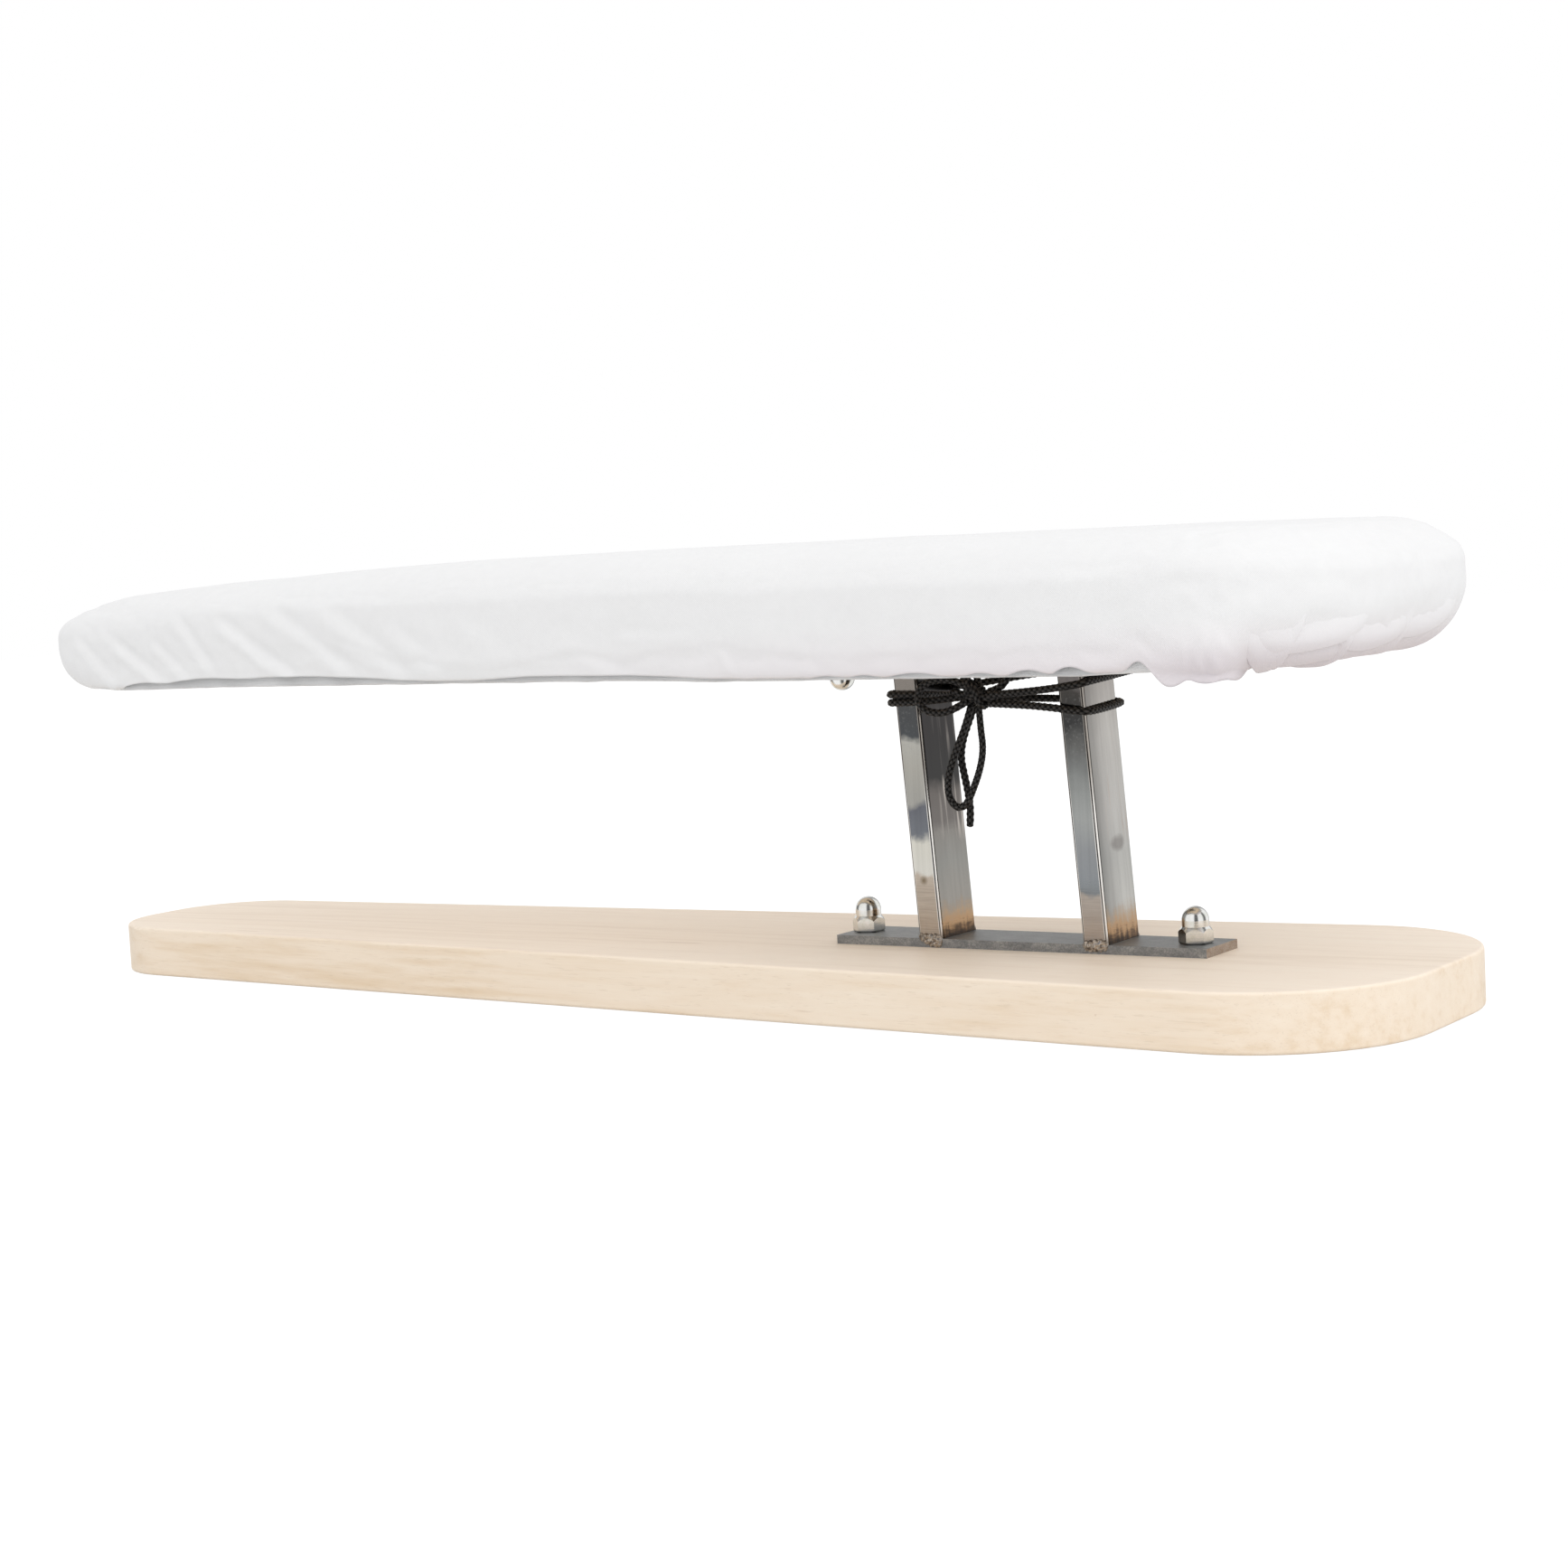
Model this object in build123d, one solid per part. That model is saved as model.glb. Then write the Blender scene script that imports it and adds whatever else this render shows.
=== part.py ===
"""Sleeve ironing board: a padded, covered arm on a welded steel stand above a wooden base board.

X runs along the board from the narrow tip to the wide heel, Y runs across it and Z points up.
The origin lies under the middle of the whole object, on the surface that it stands on.
All sizes are in millimetres.
"""
from build123d import *
import os
from math import cos, pi, radians, tan

# ---------------------------------------------------------------- driving dimensions

overall_length = 767.0
board_thickness = 25.0
board_edge_round = 1.5

# Base board: a tapered plank with a round tip and a broad, round-cornered heel.
base_length = 734.0
base_tip_half_width = 51.8
base_heel_half_width = 97.5
base_tip_radius = 46.0
base_heel_radius = 70.0

# Cover: the outer skin of the arm, which the board and the pads are stepped in from.
cover_length = 763.0
cover_tip_half_width = 55.0
cover_heel_half_width = 101.5
cover_tip_radius = 52.0
cover_heel_radius = 76.0
cover_top_round = 18.0
cover_thickness = 0.8
cover_top_z = 206.0
hem_height = 0.5
soft_gap = 0.3

# Stand: two leaning tubes between two flat bars.
plate_length = 185.0
plate_width = 30.0
plate_thickness = 4.0
plate_heel_inset = 102.0
leg_depth = 12.5
leg_wall = 1.5
leg_corner_radius = 1.8
leg_height = 126.5
leg_lean = -0.061
tip_leg_x = 146.3
heel_leg_x = 229.0

# Pads between the board and the cover.
arm_padding_width = 9.0
wadding_thickness = 14.0
felt_side_thickness = 3.8
felt_hem_step = 12.5
felt_flange_width = 18.0
felt_rim_width = 8.0
felt_rim_drop = 5.5

# Staples that hold the felt under the board.
staple_count = 26
staple_span = 10.0
staple_wire = (1.2, 0.6)
staple_leg = 9.0

# M8 fasteners.
bolt_radius = 4.0
bolt_length = 35.0
bolt_head_radius = 10.0
bolt_head_height = 4.6
bolt_neck_side = 8.0
bolt_neck_length = 4.5
bolt_clearance = 0.3
neck_clearance = 0.1
counterbore_radius = 11.0
foot_counterbore_depth = 7.0
head_counterbore_depth = 5.0
nut_across_flats = 13.0
nut_flat_height = 5.0
nut_neck_height = 7.4
nut_foot_chamfer = 0.8
nut_height = 16.0
nut_dome_radius = 5.9
nut_bore_radius = 4.05
nut_bore_depth = 13.5
bolt_end_chamfer = 0.8
tip_bolt_inset = 8.0
heel_bolt_inset = 12.0
nut_turns = (20.0, 22.0)

# Weld beads along the short sides of each leg.
weld_length = 9.0
weld_radius = 2.6
weld_depth = 1.0

# Drawcord: braided, with its middle inside the hem and its two ends tied in a bow.
cord_diameter = 3.5
hem_run_inset = 2.9
hem_run_height = 6.7
hem_exit_tip_x = 214.0
hem_exit_heel_x = 243.0
bend_share = 0.45
knot_centre = (177.0, -15.5, 137.2)
knot_size = (13.0, 9.0, 11.0)
knot_round = 4.0

# ---------------------------------------------------------------- places worked out from them

heel_x = overall_length / 2
cover_tip_x = -overall_length / 2
cover_heel_x = cover_tip_x + cover_length
base_tip_x = heel_x - base_length

foot_plate_z = board_thickness
leg_foot_z = foot_plate_z + plate_thickness
leg_head_z = leg_foot_z + leg_height
board_underside_z = leg_head_z + plate_thickness
board_top_z = board_underside_z + board_thickness
felt_rim_z = leg_head_z - felt_rim_drop
felt_top_z = cover_top_z - cover_thickness
head_shift = leg_lean * leg_height

foot_plate_heel_x = heel_x - plate_heel_inset
foot_plate_tip_x = foot_plate_heel_x - plate_length
foot_bolt_xs = (foot_plate_tip_x + tip_bolt_inset, foot_plate_heel_x - heel_bolt_inset)
head_bolt_xs = tuple(x + head_shift for x in foot_bolt_xs)

# Routes of the drawcord's free stretches, one point for each bend.
heel_strand_route = [
    (243.0, 90.35, 156.7),
    (237.0, 89.98, 156.7),
    (233.8, 89.9, 151.7),
    (231.8, 88.9, 145.5),
    (230.4, 79.0, 144.8),
    (230.2, 60.0, 145.6),
    (231.4, 36.0, 145.2),
    (231.2, 14.4, 143.9),
    (230.8, -14.4, 142.4),
    (227.5, -17.7, 141.4),
    (212.0, -18.0, 139.5),
    (197.0, -17.5, 138.3),
    (183.0, -17.2, 137.4),
]
heel_turn_route = [
    (183.6, -16.6, 133.7),
    (199.0, -17.5, 133.1),
    (213.0, -17.9, 131.9),
    (228.4, -17.7, 129.9),
    (231.7, -14.4, 129.5),
    (231.7, 14.4, 131.1),
    (228.4, 17.7, 131.6),
    (217.0, 17.7, 132.3),
    (213.4, 14.6, 132.8),
    (200.0, 2.2, 134.5),
    (184.4, -12.2, 135.8),
]
tip_strand_route = [
    (214.0, 88.58, 156.7),
    (220.0, 88.95, 156.7),
    (223.2, 89.1, 151.7),
    (224.2, 88.0, 145.5),
    (218.4, 78.5, 144.7),
    (206.0, 64.0, 145.4),
    (190.0, 48.5, 144.6),
    (172.0, 33.5, 142.6),
    (156.0, 21.4, 140.2),
    (144.5, 17.8, 139.1),
    (134.0, 17.7, 138.8),
    (130.7, 14.4, 138.6),
    (130.7, -14.4, 138.3),
    (134.0, -17.7, 138.2),
    (145.3, -17.7, 138.1),
    (148.6, -14.4, 138.0),
    (148.8, 14.4, 135.6),
    (145.5, 17.7, 135.1),
    (134.2, 17.7, 134.8),
    (130.9, 14.4, 134.7),
    (130.9, -14.4, 134.6),
    (134.2, -17.7, 134.6),
    (147.0, -17.9, 134.9),
    (160.0, -16.6, 135.8),
    (171.5, -14.2, 136.9),
]
side_loop_route = [
    (173.6, -18.9, 135.2),
    (167.2, -20.8, 131.2),
    (159.8, -21.8, 129.9),
    (153.2, -22.6, 131.6),
    (150.0, -22.8, 136.8),
    (152.2, -22.4, 142.2),
    (158.2, -21.8, 144.8),
    (165.2, -20.8, 145.0),
    (170.8, -19.6, 143.2),
    (174.6, -17.8, 140.4),
]
hanging_loop_route = [
    (173.2, -15.6, 132.6),
    (171.2, -16.8, 125.2),
    (167.8, -17.8, 117.0),
    (163.8, -18.2, 108.2),
    (161.2, -18.4, 100.0),
    (161.4, -18.4, 92.6),
    (165.2, -18.2, 87.8),
    (170.0, -18.0, 89.2),
    (173.2, -17.8, 95.2),
    (177.6, -17.6, 105.0),
    (179.6, -17.4, 114.2),
    (178.4, -17.0, 123.2),
    (177.6, -16.2, 132.2),
]
upper_loop_route = [
    (181.8, -14.0, 138.8),
    (186.8, -14.0, 139.8),
    (190.8, -13.8, 143.6),
    (192.0, -13.4, 149.0),
    (188.0, -13.0, 152.9),
    (181.4, -12.8, 152.8),
    (176.4, -13.0, 149.0),
    (175.4, -13.4, 144.8),
    (176.6, -13.6, 141.2),
]
tail_route = [
    (173.0, -12.0, 132.6),
    (169.4, -12.2, 124.8),
    (166.2, -12.4, 117.0),
    (164.8, -12.2, 109.4),
    (166.2, -12.0, 101.6),
    (168.0, -12.2, 93.0),
    (168.7, -12.4, 85.6),
    (168.0, -12.6, 79.0),
]

# ---------------------------------------------------------------- helpers


def save(name, solids):
    """Write one sub-part, made of one or more separate solids."""
    shape = Compound([s for group in solids for s in group.solids()])
    export_step(shape, f"parts/{name}.step")


def tapered_outline(tip, heel, tip_half, heel_half, tip_radius, heel_radius):
    """Plan of a board: straight tapering sides and four round corners."""
    corners = [(tip, -tip_half), (heel, -heel_half), (heel, heel_half), (tip, tip_half)]
    plan = make_face(Polyline(*corners, close=True))
    plan = fillet(plan.vertices().sort_by(Axis.X)[:2], tip_radius)
    return fillet(plan.vertices().sort_by(Axis.X)[-2:], heel_radius)


def slab(plan, bottom, top):
    """Upright prism on a plan, between two heights."""
    return extrude(Pos(0, 0, bottom) * plan, amount=top - bottom)


def round_top(solid, radius):
    """Round the rim of the highest face."""
    return fillet(solid.faces().sort_by(Axis.Z)[-1].edges(), radius)


def round_bottom(solid, radius):
    """Round the rim of the lowest face."""
    return fillet(solid.faces().sort_by(Axis.Z)[0].edges(), radius)


def upright_cylinder(x, radius, bottom, top):
    """Cylinder on the centre line of the board, between two heights."""
    base = (Align.CENTER, Align.CENTER, Align.MIN)
    return Pos(x, 0, bottom) * Cylinder(radius, top - bottom, align=base)


def upright_square(x, side, bottom, top):
    """Square prism on the centre line of the board, between two heights."""
    base = (Align.CENTER, Align.CENTER, Align.MIN)
    return Pos(x, 0, bottom) * Box(side, side, top - bottom, align=base)


cover_plan = tapered_outline(
    cover_tip_x,
    cover_heel_x,
    cover_tip_half_width,
    cover_heel_half_width,
    cover_tip_radius,
    cover_heel_radius,
)


def cover_plan_inset(distance):
    """Plan of the arm, stepped in from the outer face of the cover."""
    return offset(cover_plan, amount=-distance)


# ---------------------------------------------------------------- boards


def base_board():
    """Plank that the stand is bolted to, with counterbores for the bolt heads below."""
    plan = tapered_outline(
        base_tip_x,
        heel_x,
        base_tip_half_width,
        base_heel_half_width,
        base_tip_radius,
        base_heel_radius,
    )
    board = slab(plan, 0, board_thickness)
    board = round_bottom(round_top(board, board_edge_round), board_edge_round)
    neck_top = foot_counterbore_depth + bolt_neck_length
    for x in foot_bolt_xs:
        board -= upright_cylinder(x, counterbore_radius, 0, foot_counterbore_depth)
        board -= upright_square(x, bolt_neck_side + neck_clearance, 0, neck_top)
        board -= upright_cylinder(x, bolt_radius + bolt_clearance, 0, board_thickness)
    return board


def top_board():
    """Plank inside the arm, with counterbores for the bolt heads above."""
    board = slab(cover_plan_inset(arm_padding_width), board_underside_z, board_top_z)
    board = round_bottom(round_top(board, board_edge_round), board_edge_round)
    seat = board_top_z - head_counterbore_depth
    neck_bottom = seat - bolt_neck_length
    for x in head_bolt_xs:
        board -= upright_cylinder(x, counterbore_radius, seat, board_top_z)
        board -= upright_square(x, bolt_neck_side + neck_clearance, neck_bottom, board_top_z)
        board -= upright_cylinder(x, bolt_radius + bolt_clearance, board_underside_z, board_top_z)
    return board


# ---------------------------------------------------------------- steel stand


def bolted_plate(heel_end, bottom, bolt_xs):
    """Flat bar with one bolt hole near each end."""
    middle = heel_end - plate_length / 2
    plan = Pos(middle, 0) * Rectangle(plate_length, plate_width)
    plate = slab(plan, bottom, bottom + plate_thickness)
    for x in bolt_xs:
        plate -= upright_cylinder(
            x, bolt_radius + bolt_clearance, bottom, bottom + plate_thickness
        )
    return plate


def leg(foot_x):
    """Rectangular tube that leans towards the tip, cut level at both ends."""
    outside = RectangleRounded(leg_depth, plate_width, leg_corner_radius)
    inside = RectangleRounded(
        leg_depth - 2 * leg_wall, plate_width - 2 * leg_wall, leg_corner_radius - leg_wall
    )
    section = Pos(foot_x, 0, leg_foot_z) * (outside - inside)
    return Solid.extrude(section.face(), Vector(head_shift, 0, leg_height))


def welds(middle_x, joint_z):
    """Beads across the joint between a plate and the two short sides of a leg."""
    beads = []
    for side in (-1, 1):
        face_y = side * plate_width / 2
        centre_y = face_y - side * (weld_radius - weld_depth)
        bead = Pos(middle_x, centre_y, joint_z) * Rot(0, 90, 0) * Cylinder(weld_radius, weld_length)
        keep = Pos(middle_x, face_y + side * weld_radius, joint_z) * Box(
            weld_length, 2 * weld_radius, 2 * weld_radius
        )
        beads.append(bead & keep)
    return beads


# ---------------------------------------------------------------- fasteners


def carriage_bolt():
    """Bolt pointing up, with the flat of its domed head at the origin."""
    dome_radius = (bolt_head_radius**2 + bolt_head_height**2) / (2 * bolt_head_height)
    dome = Pos(0, 0, dome_radius - bolt_head_height) * Sphere(dome_radius)
    head = dome & Pos(0, 0, -bolt_head_height / 2) * Box(
        2 * bolt_head_radius, 2 * bolt_head_radius, bolt_head_height
    )
    shank = chamfer(
        upright_cylinder(0, bolt_radius, 0, bolt_length).edges().sort_by(Axis.Z)[-1:], bolt_end_chamfer
    )
    return head + upright_square(0, bolt_neck_side, 0, bolt_neck_length) + shank


def cap_nut():
    """Domed nut standing on the origin, with a blind bore from below."""
    corner_radius = nut_across_flats / 2 / cos(radians(30))
    turned = Polyline(
        (0, 0),
        (corner_radius - nut_foot_chamfer, 0),
        (corner_radius, nut_foot_chamfer),
        (corner_radius, nut_flat_height),
        (nut_dome_radius, nut_neck_height),
        (0, nut_neck_height),
        close=True,
    )
    barrel = revolve(Plane.XZ * make_face(turned), Axis.Z)
    hexagon = RegularPolygon(nut_across_flats / 2, 6, major_radius=False)
    body = slab(hexagon, 0, nut_neck_height) & barrel
    dome_z = nut_height - nut_dome_radius
    body += upright_cylinder(0, nut_dome_radius, 0, dome_z)
    body += Pos(0, 0, dome_z) * Sphere(nut_dome_radius)
    return body - upright_cylinder(0, nut_bore_radius, 0, nut_bore_depth)


# ---------------------------------------------------------------- soft parts


def wadding_pad():
    """Slab of soft wadding on top of the board."""
    return slab(cover_plan_inset(arm_padding_width), board_top_z, board_top_z + wadding_thickness)


def felt_pad():
    """Felt over the wadding, down the sides to a hanging rim, and a little way under the board."""
    inner_inset = arm_padding_width - soft_gap
    lower_inset = inner_inset - felt_side_thickness
    upper_inset = cover_thickness + soft_gap
    step_z = felt_rim_z + felt_hem_step
    upper = slab(cover_plan_inset(upper_inset), step_z, felt_top_z)
    felt = round_top(upper, cover_top_round - upper_inset)
    lower = slab(cover_plan_inset(lower_inset), felt_rim_z, step_z)
    felt += round_bottom(lower, board_edge_round)
    felt -= slab(cover_plan_inset(inner_inset), board_underside_z, board_top_z + wadding_thickness)
    felt -= slab(cover_plan_inset(lower_inset + felt_rim_width), felt_rim_z, leg_head_z)
    opening = cover_plan_inset(arm_padding_width + felt_flange_width)
    return felt - slab(opening, leg_head_z, board_underside_z)


def felt_staples():
    """Wire staples through the felt into the underside of the board."""
    path = cover_plan_inset(arm_padding_width + felt_flange_width / 2).face().outer_wire()
    width, thickness = staple_wire
    staples = []
    for index in range(staple_count):
        place = (index + 0.5) / staple_count
        middle = path.position_at(place)
        angle = path.tangent_angle_at(place)
        crown = Pos(0, 0, -thickness / 2) * Box(staple_span, width, thickness)
        staple = crown
        for side in (-1, 1):
            leg_x = side * (staple_span - thickness) / 2
            staple += Pos(leg_x, 0, staple_leg / 2) * Box(thickness, width, staple_leg)
        staples.append(Pos(middle.X, middle.Y, leg_head_z) * Rot(0, 0, angle) * staple)
    return staples


def cover():
    """Fitted cloth skin over the top and down the sides, open underneath."""
    hem_z = felt_rim_z + hem_height
    outside = round_top(slab(cover_plan, hem_z, cover_top_z), cover_top_round)
    inside = slab(cover_plan_inset(cover_thickness), hem_z, felt_top_z)
    return outside - round_top(inside, cover_top_round - cover_thickness)


# ---------------------------------------------------------------- drawcord


def bend_radii(points):
    """Largest arc that each pair of runs has room for."""
    radii = []
    for before, corner, after in zip(points, points[1:], points[2:]):
        run_in = Vector(*corner) - Vector(*before)
        run_out = Vector(*after) - Vector(*corner)
        half_turn = radians(run_in.get_angle(run_out)) / 2
        radii.append(bend_share * min(run_in.length, run_out.length) / tan(half_turn))
    return radii


def tube(name, points, radii):
    """Round cord along straight runs joined by tangent arcs."""
    path = FilletPolyline(*points, radius=radii)
    section = Plane(origin=path @ 0, z_dir=path % 0) * Circle(cord_diameter / 2)
    solid = sweep(section, path=path)
    exact = pi * cord_diameter**2 / 4 * path.length
    print(f"{name}: length {path.length:.1f}, volume ratio {solid.volume / exact:.4f}")
    print("  radii", " ".join(f"{r:.1f}" for r in radii))
    return solid


def free_cord(name, points):
    """One free stretch of the drawcord."""
    return tube(name, points, bend_radii(points))


def hem_side_y(x):
    """Distance of the cord in the hem from the centre line, on the straight sides."""
    slope = (cover_heel_half_width - cover_tip_half_width) / cover_length
    inset = hem_run_inset * (1 + slope**2) ** 0.5
    return cover_tip_half_width + slope * (x - cover_tip_x) - inset


def hem_run():
    """The drawcord's middle, all round the arm inside the hem."""
    z = felt_rim_z + hem_run_height
    heel = cover_heel_x - hem_run_inset
    tip = cover_tip_x + hem_run_inset
    plan = [
        (hem_exit_heel_x, hem_side_y(hem_exit_heel_x)),
        (heel, hem_side_y(heel)),
        (heel, -hem_side_y(heel)),
        (tip, -hem_side_y(tip)),
        (tip, hem_side_y(tip)),
        (hem_exit_tip_x, hem_side_y(hem_exit_tip_x)),
    ]
    heel_bend = cover_heel_radius - hem_run_inset
    tip_bend = cover_tip_radius - hem_run_inset
    radii = [heel_bend, heel_bend, tip_bend, tip_bend]
    return tube("drawcord_hem_run", [(x, y, z) for x, y in plan], radii)


def knot():
    """Body of the bow's knot."""
    return Pos(*knot_centre) * fillet(Box(*knot_size).edges(), knot_round)


# ---------------------------------------------------------------- the object


def build():
    """Make and write every sub-part."""
    os.makedirs("parts", exist_ok=True)
    save("base_board", [base_board()])
    save("top_board", [top_board()])
    save("foot_plate", [bolted_plate(foot_plate_heel_x, foot_plate_z, foot_bolt_xs)])
    save("head_plate", [bolted_plate(foot_plate_heel_x + head_shift, leg_head_z, head_bolt_xs)])
    for side, leg_x in (("tip", tip_leg_x), ("heel", heel_leg_x)):
        save(f"{side}_leg", [leg(leg_x)])
        save(f"{side}_leg_foot_welds", welds(leg_x, leg_foot_z))
        save(f"{side}_leg_head_welds", welds(leg_x + head_shift, leg_head_z))

    foot_seat = foot_counterbore_depth
    head_seat = board_top_z - head_counterbore_depth
    bolt = carriage_bolt()
    nut = cap_nut()
    save("foot_bolts", [Pos(x, 0, foot_seat) * bolt for x in foot_bolt_xs])
    save("head_bolts", [Pos(x, 0, head_seat) * Rot(180, 0, 0) * bolt for x in head_bolt_xs])
    save(
        "foot_cap_nuts",
        [Pos(x, 0, leg_foot_z) * Rot(0, 0, turn) * nut for x, turn in zip(foot_bolt_xs, nut_turns)],
    )
    save(
        "head_cap_nuts",
        [
            Pos(x, 0, leg_head_z) * Rot(180, 0, 0) * Rot(0, 0, turn) * nut
            for x, turn in zip(head_bolt_xs, nut_turns)
        ],
    )

    save("wadding_pad", [wadding_pad()])
    save("felt_pad", [felt_pad()])
    save("felt_staples", felt_staples())
    save("cover", [cover()])

    save("drawcord_hem_run", [hem_run()])
    save("drawcord_knot", [knot()])
    for name, route in (
        ("drawcord_heel_strand", heel_strand_route),
        ("drawcord_heel_turn", heel_turn_route),
        ("drawcord_tip_strand", tip_strand_route),
        ("bow_side_loop", side_loop_route),
        ("bow_hanging_loop", hanging_loop_route),
        ("bow_upper_loop", upper_loop_route),
        ("bow_tail", tail_route),
    ):
        save(name, [free_cord(name, route)])


build()
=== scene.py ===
"""Sleeve ironing board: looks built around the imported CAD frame.

X runs from the narrow tip to the wide heel, Y across the board, Z up. Shapes are worked out in
millimetres and turned into metres where a mesh is made.
"""

from math import atan, cos, pi, radians, sin, tau

import bmesh
import bpy
import numpy as np
from mathutils import Matrix, Vector


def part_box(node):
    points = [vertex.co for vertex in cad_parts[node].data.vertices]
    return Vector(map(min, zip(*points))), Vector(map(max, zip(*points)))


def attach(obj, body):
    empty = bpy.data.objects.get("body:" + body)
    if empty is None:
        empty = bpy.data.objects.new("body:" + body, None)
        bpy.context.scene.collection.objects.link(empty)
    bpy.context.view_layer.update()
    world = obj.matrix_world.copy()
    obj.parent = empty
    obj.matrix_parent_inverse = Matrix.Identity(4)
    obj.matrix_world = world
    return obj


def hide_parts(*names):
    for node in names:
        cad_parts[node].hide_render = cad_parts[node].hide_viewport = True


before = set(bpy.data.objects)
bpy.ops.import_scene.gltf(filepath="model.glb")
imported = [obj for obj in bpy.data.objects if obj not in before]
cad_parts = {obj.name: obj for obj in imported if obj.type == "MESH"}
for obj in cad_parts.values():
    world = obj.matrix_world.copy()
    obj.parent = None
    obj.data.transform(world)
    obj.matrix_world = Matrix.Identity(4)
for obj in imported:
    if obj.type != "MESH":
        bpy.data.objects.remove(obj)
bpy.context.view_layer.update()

MM = 0.001
collection = bpy.context.scene.collection


# ---------------------------------------------------------------- camera

CAMERA_PLACE = (0.815366, -1.106356, 0.211411)
CAMERA_AZIMUTH = 0.598064
CAMERA_ELEVATION = 0.085680
CAMERA_ROLL = -0.054169
SENSOR = 36.0
LENS = 66.4


def make_camera():
    """A level-headed view of the near side, from a little above and to the heel's side."""
    azimuth, elevation, roll = CAMERA_AZIMUTH, CAMERA_ELEVATION, CAMERA_ROLL
    back = Vector(
        (sin(azimuth) * cos(elevation), -cos(azimuth) * cos(elevation), sin(elevation))
    )
    level = Vector((cos(azimuth), sin(azimuth), 0.0))
    upright = back.cross(level)
    right = cos(roll) * level + sin(roll) * upright
    up = cos(roll) * upright - sin(roll) * level
    data = bpy.data.cameras.new("camera")
    data.sensor_width = SENSOR
    data.lens = LENS
    data.clip_start = 0.01
    camera = bpy.data.objects.new("camera", data)
    collection.objects.link(camera)
    turn = Matrix((right, up, back)).transposed().to_4x4()
    camera.matrix_world = Matrix.Translation(CAMERA_PLACE) @ turn
    bpy.context.scene.camera = camera


make_camera()


# ---------------------------------------------------------------- materials


class Paint:
    """A material's node tree, built one node at a time."""

    def __init__(self, name, **values):
        self.material = bpy.data.materials.new(name)
        self.material.use_nodes = True
        tree = self.material.node_tree
        self.nodes, self.links = tree.nodes, tree.links
        self.shader = self.nodes["Principled BSDF"]
        self.place = self.node("TexCoord").outputs["Object"]
        for socket, value in values.items():
            self.set(socket.replace("_", " "), value)

    def set(self, socket, value):
        """Set or link one input of the shader."""
        self.feed(self.shader.inputs[socket], value)

    def feed(self, socket, value):
        """Link a socket to another, or give it a constant."""
        if isinstance(value, bpy.types.NodeSocket):
            self.links.new(value, socket)
        else:
            socket.default_value = value

    def node(self, kind, inputs=(), **settings):
        """Add a node. inputs are (socket, value) pairs."""
        made = self.nodes.new("ShaderNode" + kind)
        for key, value in settings.items():
            setattr(made, key, value)
        for socket, value in inputs:
            self.feed(made.inputs[socket], value)
        return made

    def sum(self, operation, first, second=0.0, third=0.0):
        """Arithmetic on up to three values."""
        pairs = [(0, first), (1, second), (2, third)]
        return self.node("Math", pairs, operation=operation).outputs[0]

    def times(self, first, second):
        """The product of two values."""
        return self.sum("MULTIPLY", first, second)

    def stretched(self, scale, shift=(0.0, 0.0, 0.0), turn=(0.0, 0.0, 0.0), source=None):
        """Object coordinates, scaled along each axis after a turn and a shift."""
        pairs = [("Vector", source or self.place), ("Location", shift), ("Rotation", turn), ("Scale", scale)]
        return self.node("Mapping", pairs).outputs[0]

    def noise(self, vector, scale, detail=4.0, rough=0.55, distortion=0.0):
        """Fractal noise from 0 to 1."""
        pairs = [
            ("Vector", vector),
            ("Scale", scale),
            ("Detail", detail),
            ("Roughness", rough),
            ("Distortion", distortion),
        ]
        return self.node("TexNoise", pairs).outputs[0]

    def ramp(self, value, stops, smooth=False):
        """Colour that changes with a value. stops are (position, colour or grey) pairs."""
        made = self.node("ValToRGB", [(0, value)])
        band = made.color_ramp
        band.interpolation = "EASE" if smooth else "LINEAR"
        while len(band.elements) < len(stops):
            band.elements.new(0.5)
        for element, (position, colour) in zip(band.elements, stops):
            element.position = position
            grey = not hasattr(colour, "__len__")
            element.color = (colour, colour, colour, 1) if grey else (*colour, 1)
        return made.outputs[0]

    def span(self, value, low, high, to_low=0.0, to_high=1.0):
        """Map one range onto another, clamped."""
        pairs = [(0, value), (1, low), (2, high), (3, to_low), (4, to_high)]
        return self.node("MapRange", pairs).outputs[0]

    def blend(self, factor, first, second, mode="MIX"):
        """Mix two colours."""
        made = self.node("Mix", data_type="RGBA", blend_type=mode)
        sockets = [s for s in made.inputs if s.type == "RGBA"]
        self.feed(made.inputs[0], factor)
        for socket, value in zip(sockets, (first, second)):
            if not isinstance(value, bpy.types.NodeSocket) and len(value) == 3:
                value = (*value, 1.0)
            self.feed(socket, value)
        return [s for s in made.outputs if s.type == "RGBA"][0]

    def axis(self, name, source=None):
        """One coordinate, in metres."""
        return self.node("SeparateXYZ", [(0, source or self.place)]).outputs[name]

    def facing(self, name):
        """One coordinate of the surface's outward direction."""
        return self.axis(name, self.node("NewGeometry").outputs["Normal"])

    def length(self, vector):
        """A vector's length."""
        return self.node("VectorMath", [(0, vector)], operation="LENGTH").outputs["Value"]

    def bump(self, height, distance, strength=1.0, normal=None):
        """Relief of that many metres for a height of one."""
        pairs = [("Height", height), ("Distance", distance), ("Strength", strength)]
        if normal:
            pairs.append(("Normal", normal))
        return self.node("Bump", pairs).outputs[0]


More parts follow.
